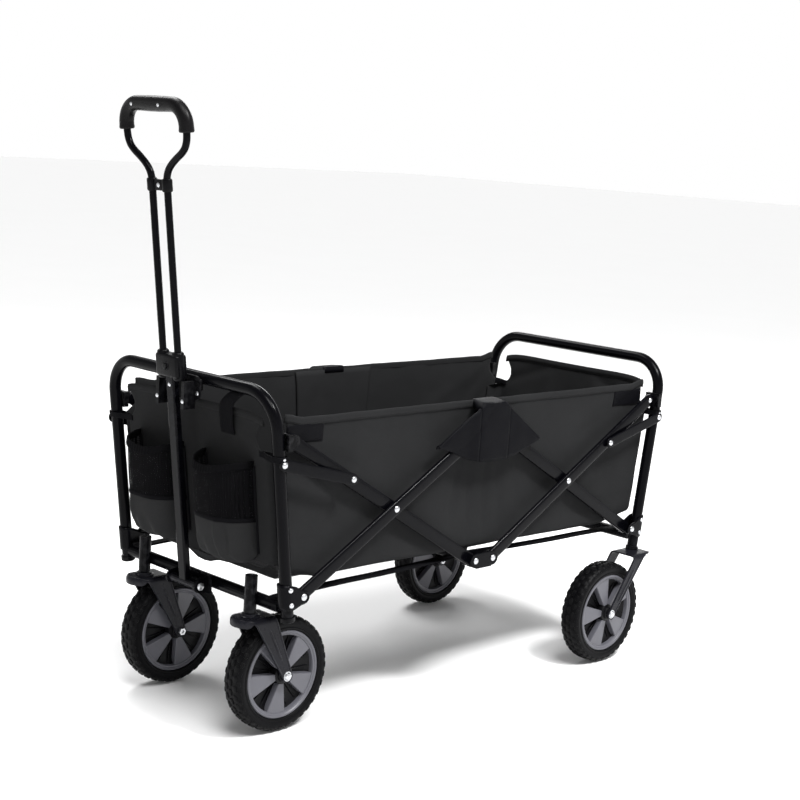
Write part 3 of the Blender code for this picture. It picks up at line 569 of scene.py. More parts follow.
def curve_through(points, steps=8):
    """A smooth line through points."""
    points = [Vector(p) for p in points]
    line = []
    for i in range(len(points) - 1):
        p0, p1 = points[max(i - 1, 0)], points[i]
        p2, p3 = points[i + 1], points[min(i + 2, len(points) - 1)]
        for k in range(steps):
            t = k / steps
            square, cube = 2 * p0 - 5 * p1 + 4 * p2 - p3, 3 * p1 - p0 - 3 * p2 + p3
            line.append(0.5 * (2 * p1 + (p2 - p0) * t + square * t**2 + cube * t**3))
    return line + [points[-1]]


def arc(cx, cy, radius, start, end, steps):
    turns = [radians(lerp(start, end, i / steps)) for i in range(steps + 1)]
    return [(cx + radius * cos(a), cy + radius * sin(a)) for a in turns]


def thicken(obj, thickness, offset=0.0):
    modifier = obj.modifiers.new("thickness", "SOLIDIFY")
    modifier.thickness = thickness
    modifier.offset = offset
    return obj


def cloth(name, grids, body, material, thickness, stands_for=(), sharp=60):
    """A piece of cloth from one or more grids of points."""
    bm = bmesh.new()
    for rows in grids:
        add_sheet(bm, rows)
    return thicken(piece(name, bm, body, material, stands_for, sharp), thickness)


def mirrored(profile, shared=0):
    """A profile with its copy across height zero, but for the points that both halves share."""
    return profile + [(r, -h) for r, h in reversed(profile[: len(profile) - shared])]


def fold_with_frame(obj):
    """The cloth between the ends gathers up towards the rear as the wagon folds."""
    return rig.squash(obj, "fold", axis=(1, 0, 0), anchor=FOLD_ANCHOR, keep=FOLD_KEEP)


def repaint(material, *nodes):
    for node in nodes:
        frame["nodes"][node].data.materials.clear()
        frame["nodes"][node].data.materials.append(material)


# ---- End loops, forks and wheels


def make_end_loop(end_name):
    end = ENDS[end_name]
    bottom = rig.box(f"{end_name}_loop")[0].z
    half = [(LOOP_HALF_WIDTH, lerp(bottom, 0.45, i / 6)) for i in range(6)]
    half += arc(LOOP_HALF_WIDTH - LOOP_CORNER, LOOP_TOP - LOOP_CORNER, LOOP_CORNER, 0, 90, 14)
    outline = half + [(0.07, LOOP_TOP), (0.0, LOOP_TOP)]
    outline += [(-y, z) for y, z in reversed(outline[:-1])]
    bm = bmesh.new()
    add_tube(bm, [(end * leg_x(z), y, z) for y, z in outline], LOOP_RADIUS, 32)
    body = "front_frame" if end < 0 else "rear_frame"
    piece(f"{end_name}_end_loop", bm, body, FRAME_BLACK, [f"{end_name}_loop"])
    bm = bmesh.new()
    for side in SIDES.values():
        plug = [(0, 0.0035), (0.0100, 0.0035), (0.0114, 0.0022), (0.0114, -0.0040), (0, -0.0040)]
        foot = (end * leg_x(bottom), side * LOOP_HALF_WIDTH, bottom)
        add_turned(bm, plug, facing(foot, (-end * 0.13, 0, -1)), 24, False)
    piece(f"{end_name}_loop_end_plugs", bm, body, PLASTIC)


# The turned-down front edge of a caster's plate: ahead and down.
PLATE_LIP = ((0.0006, -0.0105), (0.0, -0.0066), (0.0002, -0.0028), (0.0022, -0.0003))


def fork_rows(hub, plate_z, half, leg_top, plate_span, lip):
    """A pressed fork as a sheet: up one leg, over the plate and down the other, each row along X."""
    bend, hub_radius = 0.0065, 0.0100
    path = [(-half, WHEEL_Z - hub_radius * cos(radians(a))) for a in range(0, 91, 15)]
    path += [(-half, lerp(WHEEL_Z, plate_z - bend, i / 10)) for i in range(1, 11)]
    over = (0.4, 0.8, 1.2, 1.57)
    path += [(-half + bend - bend * cos(a), plate_z - bend + bend * sin(a)) for a in over]
    path += [(lerp(-half + bend, 0, i / 5), plate_z) for i in range(1, 6)]
    path += [(-y, z) for y, z in reversed(path[:-1])]
    rows = []
    for y, z in path:
        rise = (z - WHEEL_Z) / (plate_z - WHEEL_Z)
        if rise <= 0:
            reach = sqrt(max(1e-8, hub_radius**2 - (z - WHEEL_Z) ** 2))
            span = (hub.x - reach, hub.x + reach)
        else:
            span = (lerp(hub.x - hub_radius, leg_top[0], rise), lerp(hub.x + hub_radius, leg_top[1], rise))
        onto_plate = smooth((half - abs(y)) / (bend * 0.9))
        plate = plate_span(y)
        span = (lerp(span[0], plate[0], onto_plate), lerp(span[1], plate[1], onto_plate))
        row = []
        turned = onto_plate * lip
        for k, (ahead, down) in enumerate(PLATE_LIP):
            row.append((span[0] + lerp(0.0006 * k, ahead, turned), hub.y + y, z + down * turned))
        row += [(lerp(span[0] + 0.0042, span[1], i / 9), hub.y + y, z) for i in range(10)]
        rows.append(row)
    return rows


def make_fork(name, node, body, hub, plate_z, leg_top, plate_span, stem=None):
    half = FORK_HALF
    rows = fork_rows(hub, plate_z, half, leg_top, plate_span, 0.0 if stem is None else 1.0)
    bm = bmesh.new()
    add_sheet(bm, rows)
    fork = thicken(piece(name, bm, body, FORK_BLACK, [node], 45), 0.0028)
    edge = fork.modifiers.new("rolled_edges", "BEVEL")
    edge.width, edge.segments, edge.limit_method, edge.angle_limit = 0.0009, 2, "ANGLE", radians(50)
    bm = bmesh.new()
    for side in (-1, 1):
        for column, slack in ((0, 0.0012), (-1, -0.0012)):
            leg = [r for r in rows if r[0][2] > WHEEL_Z - 0.002 and side * (r[0][1] - hub.y) > half - 0.003]
            leg = [Vector(r[column]) + Vector((slack, side * 0.0008, 0)) for r in leg]
            add_tube(bm, leg, 0.0016, 8)
        rib = [Vector(r[8]) for r in rows if side * (r[0][1] - hub.y) > half - 0.0005]
        rib = [p + Vector((0, side * 0.0005, 0)) for p in rib if WHEEL_Z + 0.018 < p.z < plate_z - 0.012]
        add_tube(bm, rib, [0.0012] + [0.0024] * (len(rib) - 2) + [0.0012], 10)
    if stem is not None:
        seat = [(0, 0.001), (0.0150, 0.001), (0.0155, 0.0030), (0.0120, 0.0042)]
        seat += [(0.0120, 0.0060), (0.0052, 0.0066)]
        profile = [(r, plate_z + h) for r, h in seat] + [(0.0050, 0.2430), (0, 0.2430)]
        add_turned(bm, profile, Matrix.Translation((stem[0], stem[1], 0)), 32, False)
    piece(f"{name}_pressed_edges", bm, body, FORK_BLACK)


def make_axle(name, node, body, hub, side):
    bm = bmesh.new()
    out, face = Vector((0, side, 0)), FORK_FACE
    bolt = [(0, 0.0036), (0.0028, 0.0034), (0.0050, 0.0024), (0.0060, 0.0008), (0.0062, 0), (0.0076, 0)]
    bolt += [(0.0078, -0.0008), (0.0040, -0.0010), (0.0040, -2 * face - 0.0020), (0, -2 * face - 0.0022)]
    add_turned(bm, bolt, facing(hub + out * face, out), 28, False)
    nut = [(0.0030, 0.0045), (0.0058, 0.0045), (0.0066, 0.0038), (0.0066, 0.0003), (0.0030, 0.0003)]
    add_turned(bm, nut, facing(hub - out * face, -out), 6)
    piece(name, bm, body, STEEL, [node], 30)


def add_lug(bm, place, radius, height, tilt, angle, size, tall):
    """A rounded tread block, leaning outwards by tilt from straight out."""
    a = radians(angle)
    radial, round_it = Vector((cos(a), sin(a), 0)), Vector((-sin(a), cos(a), 0))
    axial = Vector((0, 0, 1))
    out = cos(tilt) * radial + sin(tilt) * axial
    over = -sin(tilt) * radial + cos(tilt) * axial
    base = radial * radius + axial * height
    rings = []
    for up, share in ((-0.0015, 1.0), (tall * 0.72, 0.93), (tall, 0.72)):
        ring = []
        for k in range(8):
            c, s = cos(pi * (k + 0.5) / 4), sin(pi * (k + 0.5) / 4)
            u, v = (copysign(abs(w) ** 0.55, w) for w in (c, s))
            point = base + out * up + share * (round_it * size[0] * u + over * size[1] * v)
            ring.append(bm.verts.new(place @ point))
        rings.append(ring)
    bridge(bm, rings)
    bm.faces.new(rings[-1])


def make_wheel(name, phase):
    """Knobbly tyre and a five-panel rim. The place's Z axis looks at the near side."""
    hub = middle(f"{name}_tyre") - Vector((CENTRE_X, 0, 0))
    place = Matrix.Translation(hub) @ Matrix(((1, 0, 0, 0), (0, 0, -1, 0), (0, 1, 0, 0), (0, 0, 0, 1)))
    bm = bmesh.new()
    half = [(0.0688, 0.0140), (0.0690, 0.0162), (0.0702, 0.0174), (0.0722, 0.0179), (0.0731, 0.0170)]
    half += [(0.0742, 0.0170), (0.0755, 0.0178), (0.0795, 0.0180), (0.0830, 0.0174), (0.0855, 0.0157)]
    half += [(0.0869, 0.0130), (0.0877, 0.0070), (0.0879, 0.0)]
    add_turned(bm, mirrored(half, 1), place, 72)
    count = 36
    for k in range(count):
        turn = 360.0 / count * k
        add_lug(bm, place, 0.0878, 0.0, 0.0, turn, (0.0056, 0.0036), 0.0017)
        for side in (-1, 1):
            half_step = turn + 180.0 / count
            add_lug(bm, place, 0.0868, side * 0.0096, side * 0.22, half_step, (0.0054, 0.0042), 0.0019)
            add_lug(bm, place, 0.0846, side * 0.0160, side * 0.80, turn, (0.0046, 0.0032), 0.0012)
    piece(f"{name}_knobbly_tyre", bm, name, TYRE, [f"{name}_tyre"], 48)

    bm = bmesh.new()
    ring = [(0.0602, 0.0020), (0.0602, 0.0128), (0.0612, 0.0148), (0.0632, 0.0153), (0.0642, 0.0164)]
    ring += [(0.0650, 0.0170), (0.0668, 0.0170), (0.0680, 0.0162), (0.0684, 0.0145)]
    add_turned(bm, mirrored(ring), place, 96)
    for k in range(5):
        turn = radians(phase + 72 * k)
        for face in (-1, 1):
            rings = []
            for inset, lift in ((0.0, -0.0105), (0.0, -0.0010), (0.0010, 0.0)):
                wide, slim = 0.0176 - inset, 0.0052 - inset * 0.6
                rim_side = [(sqrt(0.0606**2 - v * v), v) for v in (wide * s for s in (-1, -0.5, 0, 0.5, 1))]
                corners = [(0.0150, -slim), *rim_side, (0.0150, slim)]
                c, s = cos(turn), sin(turn)
                ring = []
                for u, v in corners:
                    top = lerp(0.0162, 0.0138, (u - 0.015) / 0.045) + lift
                    ring.append(bm.verts.new(place @ Vector((u * c - v * s, u * s + v * c, face * top))))
                rings.append(ring)
            bridge(bm, rings)
            bm.faces.new(rings[-1])
            bm.faces.new(rings[0])
    piece(f"{name}_panelled_rim", bm, name, RIM, [f"{name}_rim"], 32)

    # Recess floor, hub boss and ribs take the near-black painted-shade finish, standing in for the shadow in the
    # recesses.
    bm = bmesh.new()
    web = [(0.0150, 0.0034), (0.0480, 0.0034), (0.0560, 0.0050), (0.0606, 0.0080)]
    add_turned(bm, mirrored(web), place, 72)
    boss = [(0.0046, 0.0218), (0.0096, 0.0218), (0.0108, 0.0208), (0.0114, 0.0176), (0.0150, 0.0164)]
    boss += [(0.0157, 0.0150), (0.0160, 0.0030)]
    add_turned(bm, mirrored(boss), place, 48)
    for k in range(5):
        for lean in (-9.0, 9.0):
            turn = radians(phase + 36 + 72 * k + lean)
            along = Vector((cos(turn), sin(turn), 0))
            blade = place @ Matrix.Translation(along * 0.0380) @ Matrix.Rotation(turn, 4, "Z")
            add_block(bm, (0.0440, 0.0016, 0.0120), blade, 0.0005, 1)
    piece(f"{name}_rim_recesses", bm, name, RIM_RECESS_SHADE)
    return hub


# ---- Handle


def make_handle():
    corner = arc(0.041, 0.6865, 0.030, 0, 90, 9)
    half = [(ROD_Y, 0.3205), (ROD_Y, 0.40), (ROD_Y, 0.52), (ROD_Y, COLLAR_CENTRE), (0.0187, 0.6130)]
    half += [(0.0222, 0.6222), (0.0300, 0.6312), (0.0430, 0.6408), (0.0560, 0.6490), (0.0645, 0.6568)]
    half += [(0.0692, 0.6660), (0.0708, 0.6760)]
    path = half + corner + [(0.0, 0.7165)] + [(-y, t) for y, t in reversed(half + corner)]
    bm = bmesh.new()
    add_tube(bm, curve_through([on_handle(t, y) for y, t in path], 4), 0.0053, 20)
    piece("handle_rods", bm, "handle_upper", FRAME_BLACK, ["handle_rods_and_loop"])

    half = [(0.0710, 0.6790)] + corner + [(0.030, 0.7166), (0.015, 0.7165)]
    path = half + [(0.0, 0.7165)] + [(-y, t) for y, t in reversed(half)]
    line = curve_through([on_handle(t, y) for y, t in path], 5)
    lengths = [0.0]
    for a, b in zip(line, line[1:]):
        lengths.append(lengths[-1] + (b - a).length)
    radii = []
    for s in lengths:
        swell = 0.0007 * exp(-(((s / lengths[-1] - 0.5) / 0.16) ** 2))
        edge = min(s, lengths[-1] - s)
        lip, rounding = exp(-((edge / 0.004) ** 2)), exp(-((edge / 0.0012) ** 2))
        radii.append(0.0107 + swell + 0.0008 * lip - 0.0014 * rounding)
    bm = bmesh.new()
    add_tube(bm, line, radii, 28)
    piece("handle_moulded_grip", bm, "handle_upper", GRIP, ["handle_grip"], 50)
    out = on_handle(0, 0, 1) - on_handle(0, 0, 0)
    bm = bmesh.new()
    for y in (0.042, -0.022):
        add_rivet(bm, on_handle(0.7158, y, 0.0108), out, 0.0026, 0.0013)
    add_rivet(bm, on_handle(COLLAR_CENTRE, 0, 0.0030), out, 0.0036, 0.0016)
    piece("rivets_handle_upper", bm, "handle_upper", STEEL)

    lean = Matrix.Rotation(-HANDLE_LEAN, 4, "Y")
    bm = bmesh.new()
    for side in SIDES.values():
        cuff = [on_handle(t, side * ROD_Y) for t in (0.5930, 0.5945, 0.6095, 0.6112)]
        add_tube(bm, cuff, [0.0068, 0.0077, 0.0077, 0.0068], 28)
    add_block(bm, (0.0062, 0.0300, 0.0160), Matrix.Translation(on_handle(COLLAR_CENTRE)) @ lean, 0.0016)
    piece("handle_loop_collar", bm, "handle_upper", PLASTIC, ["handle_collar"])

    bm = bmesh.new()
    for side in SIDES.values():
        stack = [(0.3170, 0.0074), (0.3182, 0.0086), (0.3200, 0.0092)]
        stack += [(0.3560, 0.0092), (0.3578, 0.0086), (0.3590, 0.0074)]
        add_tube(bm, [on_handle(t, side * ROD_Y) for t, r in stack], [r for t, r in stack], 28)
    add_block(bm, (0.0208, 0.0522, 0.0345), Matrix.Translation(on_handle(HUB_CENTRE)) @ lean, 0.0042, 4)
    ring = [(0.0052, 0.0), (0.0056, 0.0008), (0.0070, 0.0008), (0.0076, 0.0)]
    ring += [(0.0076, -0.0020), (0.0052, -0.0020)]
    add_turned(bm, ring, facing(on_handle(HUB_CENTRE, 0, 0.0106), out), 28)
    piece("handle_latch_hub", bm, "handle_lower", PLASTIC, ["handle_hub"], 45)
    bm = bmesh.new()
    add_rivet(bm, on_handle(0.309, 0, 0.0060), out, 0.0032, 0.0015)
    piece("rivets_handle_lower", bm, "handle_lower", STEEL)


# ---- Cloth


def crease(x, z, folds):
    """How far a set of long soft folds pushes the cloth at a point."""
    push = 0.0
    for x0, z0, x1, z1, width, depth in folds:
        run = Vector((x1 - x0, z1 - z0))
        to = Vector((x - x0, z - z0))
        t = to.dot(run) / run.length_squared
        if -0.25 < t < 1.25:
            off = (to.x * run.y - to.y * run.x) / run.length
            fade = smooth((t + 0.25) * 2.5), smooth((1.25 - t) * 2.5)
            push += depth * exp(-((off / width) ** 2)) * fade[0] * fade[1]
    return push


def wander(x, y, z, scale):
    return noise.noise(Vector((x * scale + 3.1, y * scale + 7.7, z * scale)))


SIDE_FOLDS = [
    (-0.40, 0.462, -0.26, 0.400, 0.010, -0.0022),
    (-0.40, 0.445, -0.30, 0.360, 0.009, -0.0020),
    (-0.39, 0.300, -0.31, 0.335, 0.008, -0.0016),
    (-0.40, 0.270, -0.27, 0.262, 0.008, -0.0018),
    (-0.060, 0.300, -0.045, 0.395, 0.009, -0.0026),
    (-0.018, 0.262, -0.022, 0.392, 0.008, -0.0024),
    (0.020, 0.262, 0.018, 0.390, 0.009, -0.0028),
    (0.060, 0.280, 0.048, 0.392, 0.009, -0.0024),
    (0.110, 0.290, 0.090, 0.385, 0.012, -0.0022),
    (0.39, 0.468, 0.25, 0.405, 0.010, -0.0022),
    (0.40, 0.440, 0.31, 0.352, 0.009, -0.0020),
    (0.39, 0.285, 0.26, 0.268, 0.008, -0.0018),
    (0.22, 0.262, 0.34, 0.330, 0.010, -0.0016),
    (-0.24, 0.262, -0.16, 0.330, 0.010, -0.0014),
]


def side_reach(z, end):
    """Where a side panel stops towards an end loop: short of the leg near the top corner."""
    if z > 0.440:
        return end * through([(0.440, 0.436), (0.450, 0.420), (0.470, 0.416), (0.492, 0.424)], z)
    return end * (leg_x(z) - 0.005)


def side_face(x, z, side):
    """How far out a side panel lies from the middle plane."""
    span = min(1.0, max(0.0, (0.41 - abs(x)) / 0.06))
    drop = smooth((z - 0.245) / 0.05) * smooth((0.50 - z) / 0.05)
    y = BIN_SIDE - 0.0030 * span * drop
    y += crease(x, z, SIDE_FOLDS) * (0.9 if side < 0 else 0.8)
    y += 0.0011 * wander(x, side, z, 16) + 0.0005 * wander(x, side * 2, z, 45)
    return min(y, 0.1829)


def top_edge(x):
    """Height of the side panels' top edge, slack between the corners and the middle."""
    return 0.4890 + 0.0065 * smooth((abs(x) - 0.385) / 0.035) - 0.0008 * wander(x, 0, 0.5, 25)


BOTTOM_EDGE = [(-0.392, 0.2567), (-0.341, 0.2447), (-0.207, 0.2445), (-0.080, 0.2425), (0.080, 0.2425)]
BOTTOM_EDGE += [(0.334, 0.2390), (0.417, 0.2537)]


def bottom_edge(x, side):
    return through(BOTTOM_EDGE, x) + 0.0010 * wander(x, side, 0.2, 22)


def make_bin():
    columns = 132
    profile = [("side", -1, i / 26) for i in range(27)]
    profile += [("turn", -1, i / 5) for i in range(1, 6)]
    profile += [("floor", 0, i / 22) for i in range(1, 22)]
    profile += [("turn", 1, 1 - i / 5) for i in range(5)]
    profile += [("side", 1, 1 - i / 26) for i in range(27)]
    rows = []
    for part, side, t in profile:
        row = []
        for c in range(columns + 1):
            s = c / columns
            rough_z = lerp(BIN_TOP, 0.2500, t) if part == "side" else FLOOR_Z
            x = lerp(side_reach(rough_z, -1), side_reach(rough_z, 1), s)
            low = bottom_edge(x, side or 1) + 0.010
            if part == "side":
                z = lerp(top_edge(x), low, t)
                y = side * side_face(x, z, side)
            elif part == "turn":
                a = t * pi / 2
                y = side * (side_face(x, low, side) - 0.012 * (1 - cos(a)))
                z = lerp(low, low - 0.010, sin(a))
            else:
                y = lerp(-BIN_SIDE + 0.012, BIN_SIDE - 0.012, t)
                sag = sin(pi * t) * abs(sin(pi * x / 0.41))
                z = FLOOR_Z - 0.0030 * sag + 0.0009 * wander(x, y, 0.1, 18)
                z = lerp(bottom_edge(x, copysign(1, y)), z, smooth(min(t, 1 - t) / 0.10))
                z += 0.0180 * smooth((abs(x) - 0.388) / 0.018) * smooth(0.25 + (abs(y) - 0.02) / 0.06)
            row.append((x, y, z))
        rows.append(row)
    shell = cloth("bin_sides_and_floor", [rows], "rear_frame", FABRIC, 0.0013, ["fabric_trough"], 70)
    fold_with_frame(shell)

    trims, stitches = [], bmesh.new()
    for side_name, side in SIDES.items():
        rows = []
        outside = ((0.0008, 0.0105), (0.0010, 0.0070), (0.0011, 0.0025), (0.0010, -0.0005))
        for out, drop in (*outside, (0.0, -0.0012), *[(-out, drop) for out, drop in reversed(outside)]):
            rows.append([])
            for x in trim_line():
                z = top_edge(x)
                rows[-1].append((x, side * (side_face(x, z, side) + out), z - drop))
        hem = cloth(f"top_hem_{side_name}", [rows], "rear_frame", FABRIC, 0.0009, sharp=70)
        trims.append(fold_with_frame(hem))
        for k in range(-76, 77):
            x = k * 0.0053
            place = (x, side * (side_face(x, top_edge(x), side) + 0.0013), top_edge(x) - 0.0088)
            add_stitch(stitches, place, (1, 0, 0), (0, side, 0), 0.0032, 0.0007)
    trims.append(fold_with_frame(piece("hem_stitches", stitches, "rear_frame", THREAD)))

    along = [lerp(-0.388, 0.392, c / 60) for c in range(61)]
    across = [lerp(-0.156, 0.156, i / 18) for i in range(19)]
    rows = [[(x, y, 0.2458 + 0.0006 * wander(x, y, 0.6, 9)) for x in along] for y in across]
    board = cloth("covered_base_board", [rows], "rear_frame", BOARD, 0.0042, ["base_board"])
    fold_with_frame(board)
    bm = bmesh.new()
    for x in (-0.198, 0.0035, 0.205):
        add_block(bm, (0.0100, 0.310, 0.0020), Matrix.Translation((x, 0, 0.2484)), 0.0008, 2)
    fold_with_frame(piece("base_board_hinges", bm, "rear_frame", TAPE, slot="base_board"))
    return shell, board, trims


def trim_line():
    reach = 0.4225
    return [lerp(-reach, reach, c / 120) for c in range(121)]


def add_stitch(bm, point, along, out, length=0.0034, width=0.0009):
    point, along, out = Vector(point), Vector(along), Vector(out)
    over, lift = along.cross(out) * width / 2, out * 0.0004
    ends = [point - along * length / 2 - lift, point + along * length / 2 - lift]
    ridge = [point - along * length / 4 + lift, point + along * length / 4 + lift]
    ring = [ends[0], ridge[0] + over, ridge[1] + over, ends[1], ridge[1] - over, ridge[0] - over]
    bm.faces.new([bm.verts.new(p) for p in ring])


PANEL_HALF = [(0.2525, 0.172), (0.262, 0.178), (0.436, 0.178), (0.443, 0.156), (0.455, 0.149), (0.470, 0.150)]
PANEL_HALF += [(0.484, 0.158), (0.4985, 0.1655)]
TOP_CORNER_FOLDS = [
    (-0.165, 0.440, -0.060, 0.480, 0.009, 0.0018),
    (0.165, 0.440, 0.060, 0.480, 0.009, 0.0018),
]
PANEL_FOLDS = {
    "front": [
        *TOP_CORNER_FOLDS,
        (-0.155, 0.270, -0.110, 0.400, 0.008, 0.0014),
        (0.010, 0.270, -0.006, 0.460, 0.012, -0.0022),
        (-0.030, 0.300, 0.030, 0.440, 0.010, 0.0012),
    ],
    "rear": [
        *TOP_CORNER_FOLDS,
        (-0.080, 0.265, -0.060, 0.450, 0.012, -0.0024),
        (0.070, 0.265, 0.050, 0.450, 0.012, -0.0022),
        (0.0, 0.262, 0.005, 0.430, 0.012, 0.0020),
        (-0.15, 0.30, 0.02, 0.27, 0.010, 0.0016),
    ],
}


def panel_x(end_name, y, z):
    push = crease(y, z, PANEL_FOLDS[end_name]) + 0.0010 * wander(y, 2.0, z, 17)
    return ENDS[end_name] * (leg_x(z) - 0.0020 + push)


def panel_top(y):
    """Height of an end panel's top edge: a shallow scoop, and rounded corners."""
    share = min(1.0, abs(y) / 0.166)
    return 0.4945 + 0.0025 * share**2 - 0.0085 * share**7


def make_end_panel(end_name, body):
    """An end panel with a return round each lower corner, which the side panel overlaps."""
    end = ENDS[end_name]
    rows = []
    for i in range(43):
        t = i / 42
        half = through(PANEL_HALF, lerp(0.2530, 0.4980, t))
        row = []
        for c in range(-34, 35):
            s = c / 34
            y = s * half
            low = 0.2530 + 0.0170 * smooth((abs(y) - 0.045) / 0.085)
            z = lerp(low, panel_top(y), t)
            x = panel_x(end_name, y, z)
            if half > 0.170 and abs(s) > 0.93:
                turn = (abs(s) - 0.93) / 0.07
                y = copysign(0.93 * half + 0.0115 * smooth(min(1.0, turn * 2)), s)
                x = end * (abs(x) - 0.030 * turn * turn)
            row.append((x, y, z))
        rows.append(row)
    panel = cloth(f"{end_name}_panel", [rows], body, FABRIC, 0.0013, [f"fabric_{end_name}_panel"], 70)

    rows = []
    for out, drop in ((0.0009, 0.0105), (0.0011, 0.003), (0.0, -0.0012), (-0.0011, 0.003), (-0.0009, 0.0105)):
        row = []
        for c in range(-34, 35):
            y = c / 34 * 0.1655
            z = panel_top(y) - drop
            row.append((panel_x(end_name, y, z) + end * out, y, z))
        rows.append(row)
    hem = cloth(f"{end_name}_panel_hem", [rows], body, FABRIC, 0.0008, sharp=70)
    bm = bmesh.new()
    for k in range(-29, 30):
        y = k * 0.0053
        z = panel_top(y) - 0.0088
        add_stitch(bm, (panel_x(end_name, y, z) + end * 0.0013, y, z), (0, 1, 0), (end, 0, 0), 0.0032, 0.0007)
    stitches = piece(f"{end_name}_panel_stitches", bm, body, THREAD)
    return panel, [hem, stitches]


def ribbon(line, across, width, columns=6):
    """The grid of a strap along a line, its width along a direction."""
    across = Vector(across).normalized()
    steps = [c / columns - 0.5 for c in range(columns + 1)]
    return [[Vector(point) + across * width * step for step in steps] for point in line]


def make_corner_ties(end_name, body):
    """The short straps that tie an end panel's corners round the loop's legs."""
    end = ENDS[end_name]
    grids = []
    x, r, leg = leg_x(TIE_Z), LOOP_RADIUS + 0.0012, 0.200
    for side in SIDES.values():
        line = [(x + 0.0006, 0.156), (x + 0.0030, 0.170), (x + 0.0100, 0.186), (x + r, leg)]
        line += [(x + r * 0.7, leg + r * 0.7), (x, leg + r), (x - r * 0.7, leg + r * 0.7)]
        line += [(x - r, leg), (x - 0.0100, 0.186), (x - 0.0050, 0.170), (x - 0.0036, 0.156)]
        line = curve_through([(end * u, side * v, TIE_Z) for u, v in line], 5)
        grids.append(ribbon(line, (0.13 * end, 0, 1), 0.0085))
    return cloth(f"{end_name}_corner_ties", grids, body, TAPE, 0.0013)


# How far a pocket stands off at each share of its height, and where its pleats are and how deep.
POCKET_RISE = [(0.0, 0.24), (0.03, 0.58), (0.09, 0.84), (0.20, 0.96), (0.40, 1.0), (0.70, 0.98), (1.0, 0.92)]
PLEATS = ((0.78, -0.16), (0.70, 0.10))


def make_pocket(side_name):
    """A bottle pocket: cloth below, see-through mesh above, and an elastic hem."""
    side = SIDES[side_name]
    inner, outer = 0.0270, 0.1385

    def low_z(s):
        return 0.2625 + 0.0200 * abs(2 * s - 1) ** 4

    def pouch(s, z):
        """How far the pocket stands off the panel, across and up."""
        across = (1 - abs(2 * s - 1) ** 3.4) ** 0.72 if 0 < s < 1 else 0.0
        up = through(POCKET_RISE, (z - low_z(s)) / 0.150)
        pleat = sum(d * exp(-(((s - at) / 0.05) ** 2)) * smooth((0.345 - z) / 0.04) for at, d in PLEATS)
        pleat += 0.06 * sin(s * 21 + 3 * side) * smooth((0.310 - z) / 0.03)
        return 0.0510 * across * (up + pleat * across)

    def surface(s, z, extra=0.0):
        y = side * lerp(inner, outer, s)
        rest = -(leg_x(z) - 0.0008)
        return (rest - pouch(s, z) - extra + 0.0008 * wander(y, 4, z, 24), y, z)

    def hem_z(s):
        return 0.4175 - 0.0070 * sin(pi * s) ** 0.8 - 0.0090 * sin(pi * s) * (1 - s)

    seam = 0.3340
    shares, fine = [c / 44 for c in range(45)], [c / 60 for c in range(61)]
    rows = [[(-(leg_x(low_z(s)) - 0.0008), side * lerp(inner, outer, s), low_z(s) + 0.0010) for s in shares]]
    for i in range(21):
        rows.append([surface(s, lerp(low_z(s), seam, (i / 20) ** 1.3)) for s in shares])
    name = f"pocket_{side_name}"
    lower = cloth(f"{name}_cloth", [rows], "front_frame", LINING, 0.0012, [name], 70)
    bm = bmesh.new()
    add_sheet(bm, [[surface(s, lerp(seam - 0.003, hem_z(s), i / 20)) for s in shares] for i in range(21)])
    net = piece(f"{name}_mesh", bm, "front_frame", MESH, sharp=70)
    line = [Vector(surface(s, hem_z(s), 0.0004)) for s in fine]
    waves = [Vector((-0.0005 * cos(i * 1.9), 0, 0.0004 * sin(i * 1.3))) for i in range(61)]
    ruffled = [p + wave for p, wave in zip(line, waves)]
    hem = cloth(f"{name}_elastic", [ribbon(ruffled, (0.13, 0, 1), 0.0110, 4)], "front_frame", ELASTIC, 0.0024)
    grids = [ribbon([Vector(surface(s, seam, 0.0007)) for s in fine], (0.13, 0, 1), 0.0060, 2)]
    for s in (0.0, 1.0):
        edge = [Vector(surface(s, lerp(low_z(s), 0.4160, i / 24), 0.0012)) for i in range(25)]
        grids.append([[p + Vector((0, side * w, 0)) for w in (-0.004, 0.0, 0.004)] for p in edge])
    binding = cloth(f"{name}_binding", grids, "front_frame", TAPE, 0.0010)
    return lower, net, [hem, binding]


def make_front_strap():
    """The strap that holds the folded wagon closed, looped over the front tube."""
    x, r = leg_x(LOOP_TOP), LOOP_RADIUS + 0.0014
    turns = [radians(a) for a in (55, 30, 0, -30, -60, -85)]
    line = [(x - r * cos(a), -0.112, LOOP_TOP + r * sin(a)) for a in turns]
    line += [(leg_x(0.510) + 0.0030, -0.100, 0.510), (leg_x(0.497) + 0.0035, -0.0890, 0.497)]
    line += [(leg_x(0.47) + 0.0036, -0.0875, 0.470), (leg_x(0.456) + 0.0026, -0.0885, 0.456)]
    line = curve_through([(-u, y, z) for u, y, z in line], 5)
    return cloth("front_closing_strap", [ribbon(line, (0, 1, 0), 0.0300)], "front_frame", TAPE, 0.0016)


SLEEVE_TOP = [(-0.120, 0.4270), (-0.022, 0.4862), (0.0, 0.4880), (0.022, 0.4862), (0.112, 0.4225)]
SLEEVE_LOW = [(-0.120, 0.4235), (-0.092, 0.4150), (-0.060, 0.4005), (-0.030, 0.3945), (0.0, 0.3930)]
SLEEVE_LOW += [(0.030, 0.3940), (0.052, 0.3980), (0.080, 0.4080), (0.112, 0.4190)]
# How far the top of the cover reaches inwards and up, over the hem and beside it.
OVER_HEM = [(0.0020, -0.0006), (0.0100, 0.0004), (0.0190, 0.0016), (0.0270, 0.0026), (0.0322, 0.0022)]
OVER_HEM += [(0.0338, -0.0014), (0.0342, -0.0080)]
BESIDE_HEM = [(0.0008, 0.0006), (0.0020, 0.0008), (0.0032, 0.0004), (0.0042, -0.0006), (0.0050, -0.0020)]
BESIDE_HEM += [(0.0055, -0.0036), (0.0058, -0.0052)]


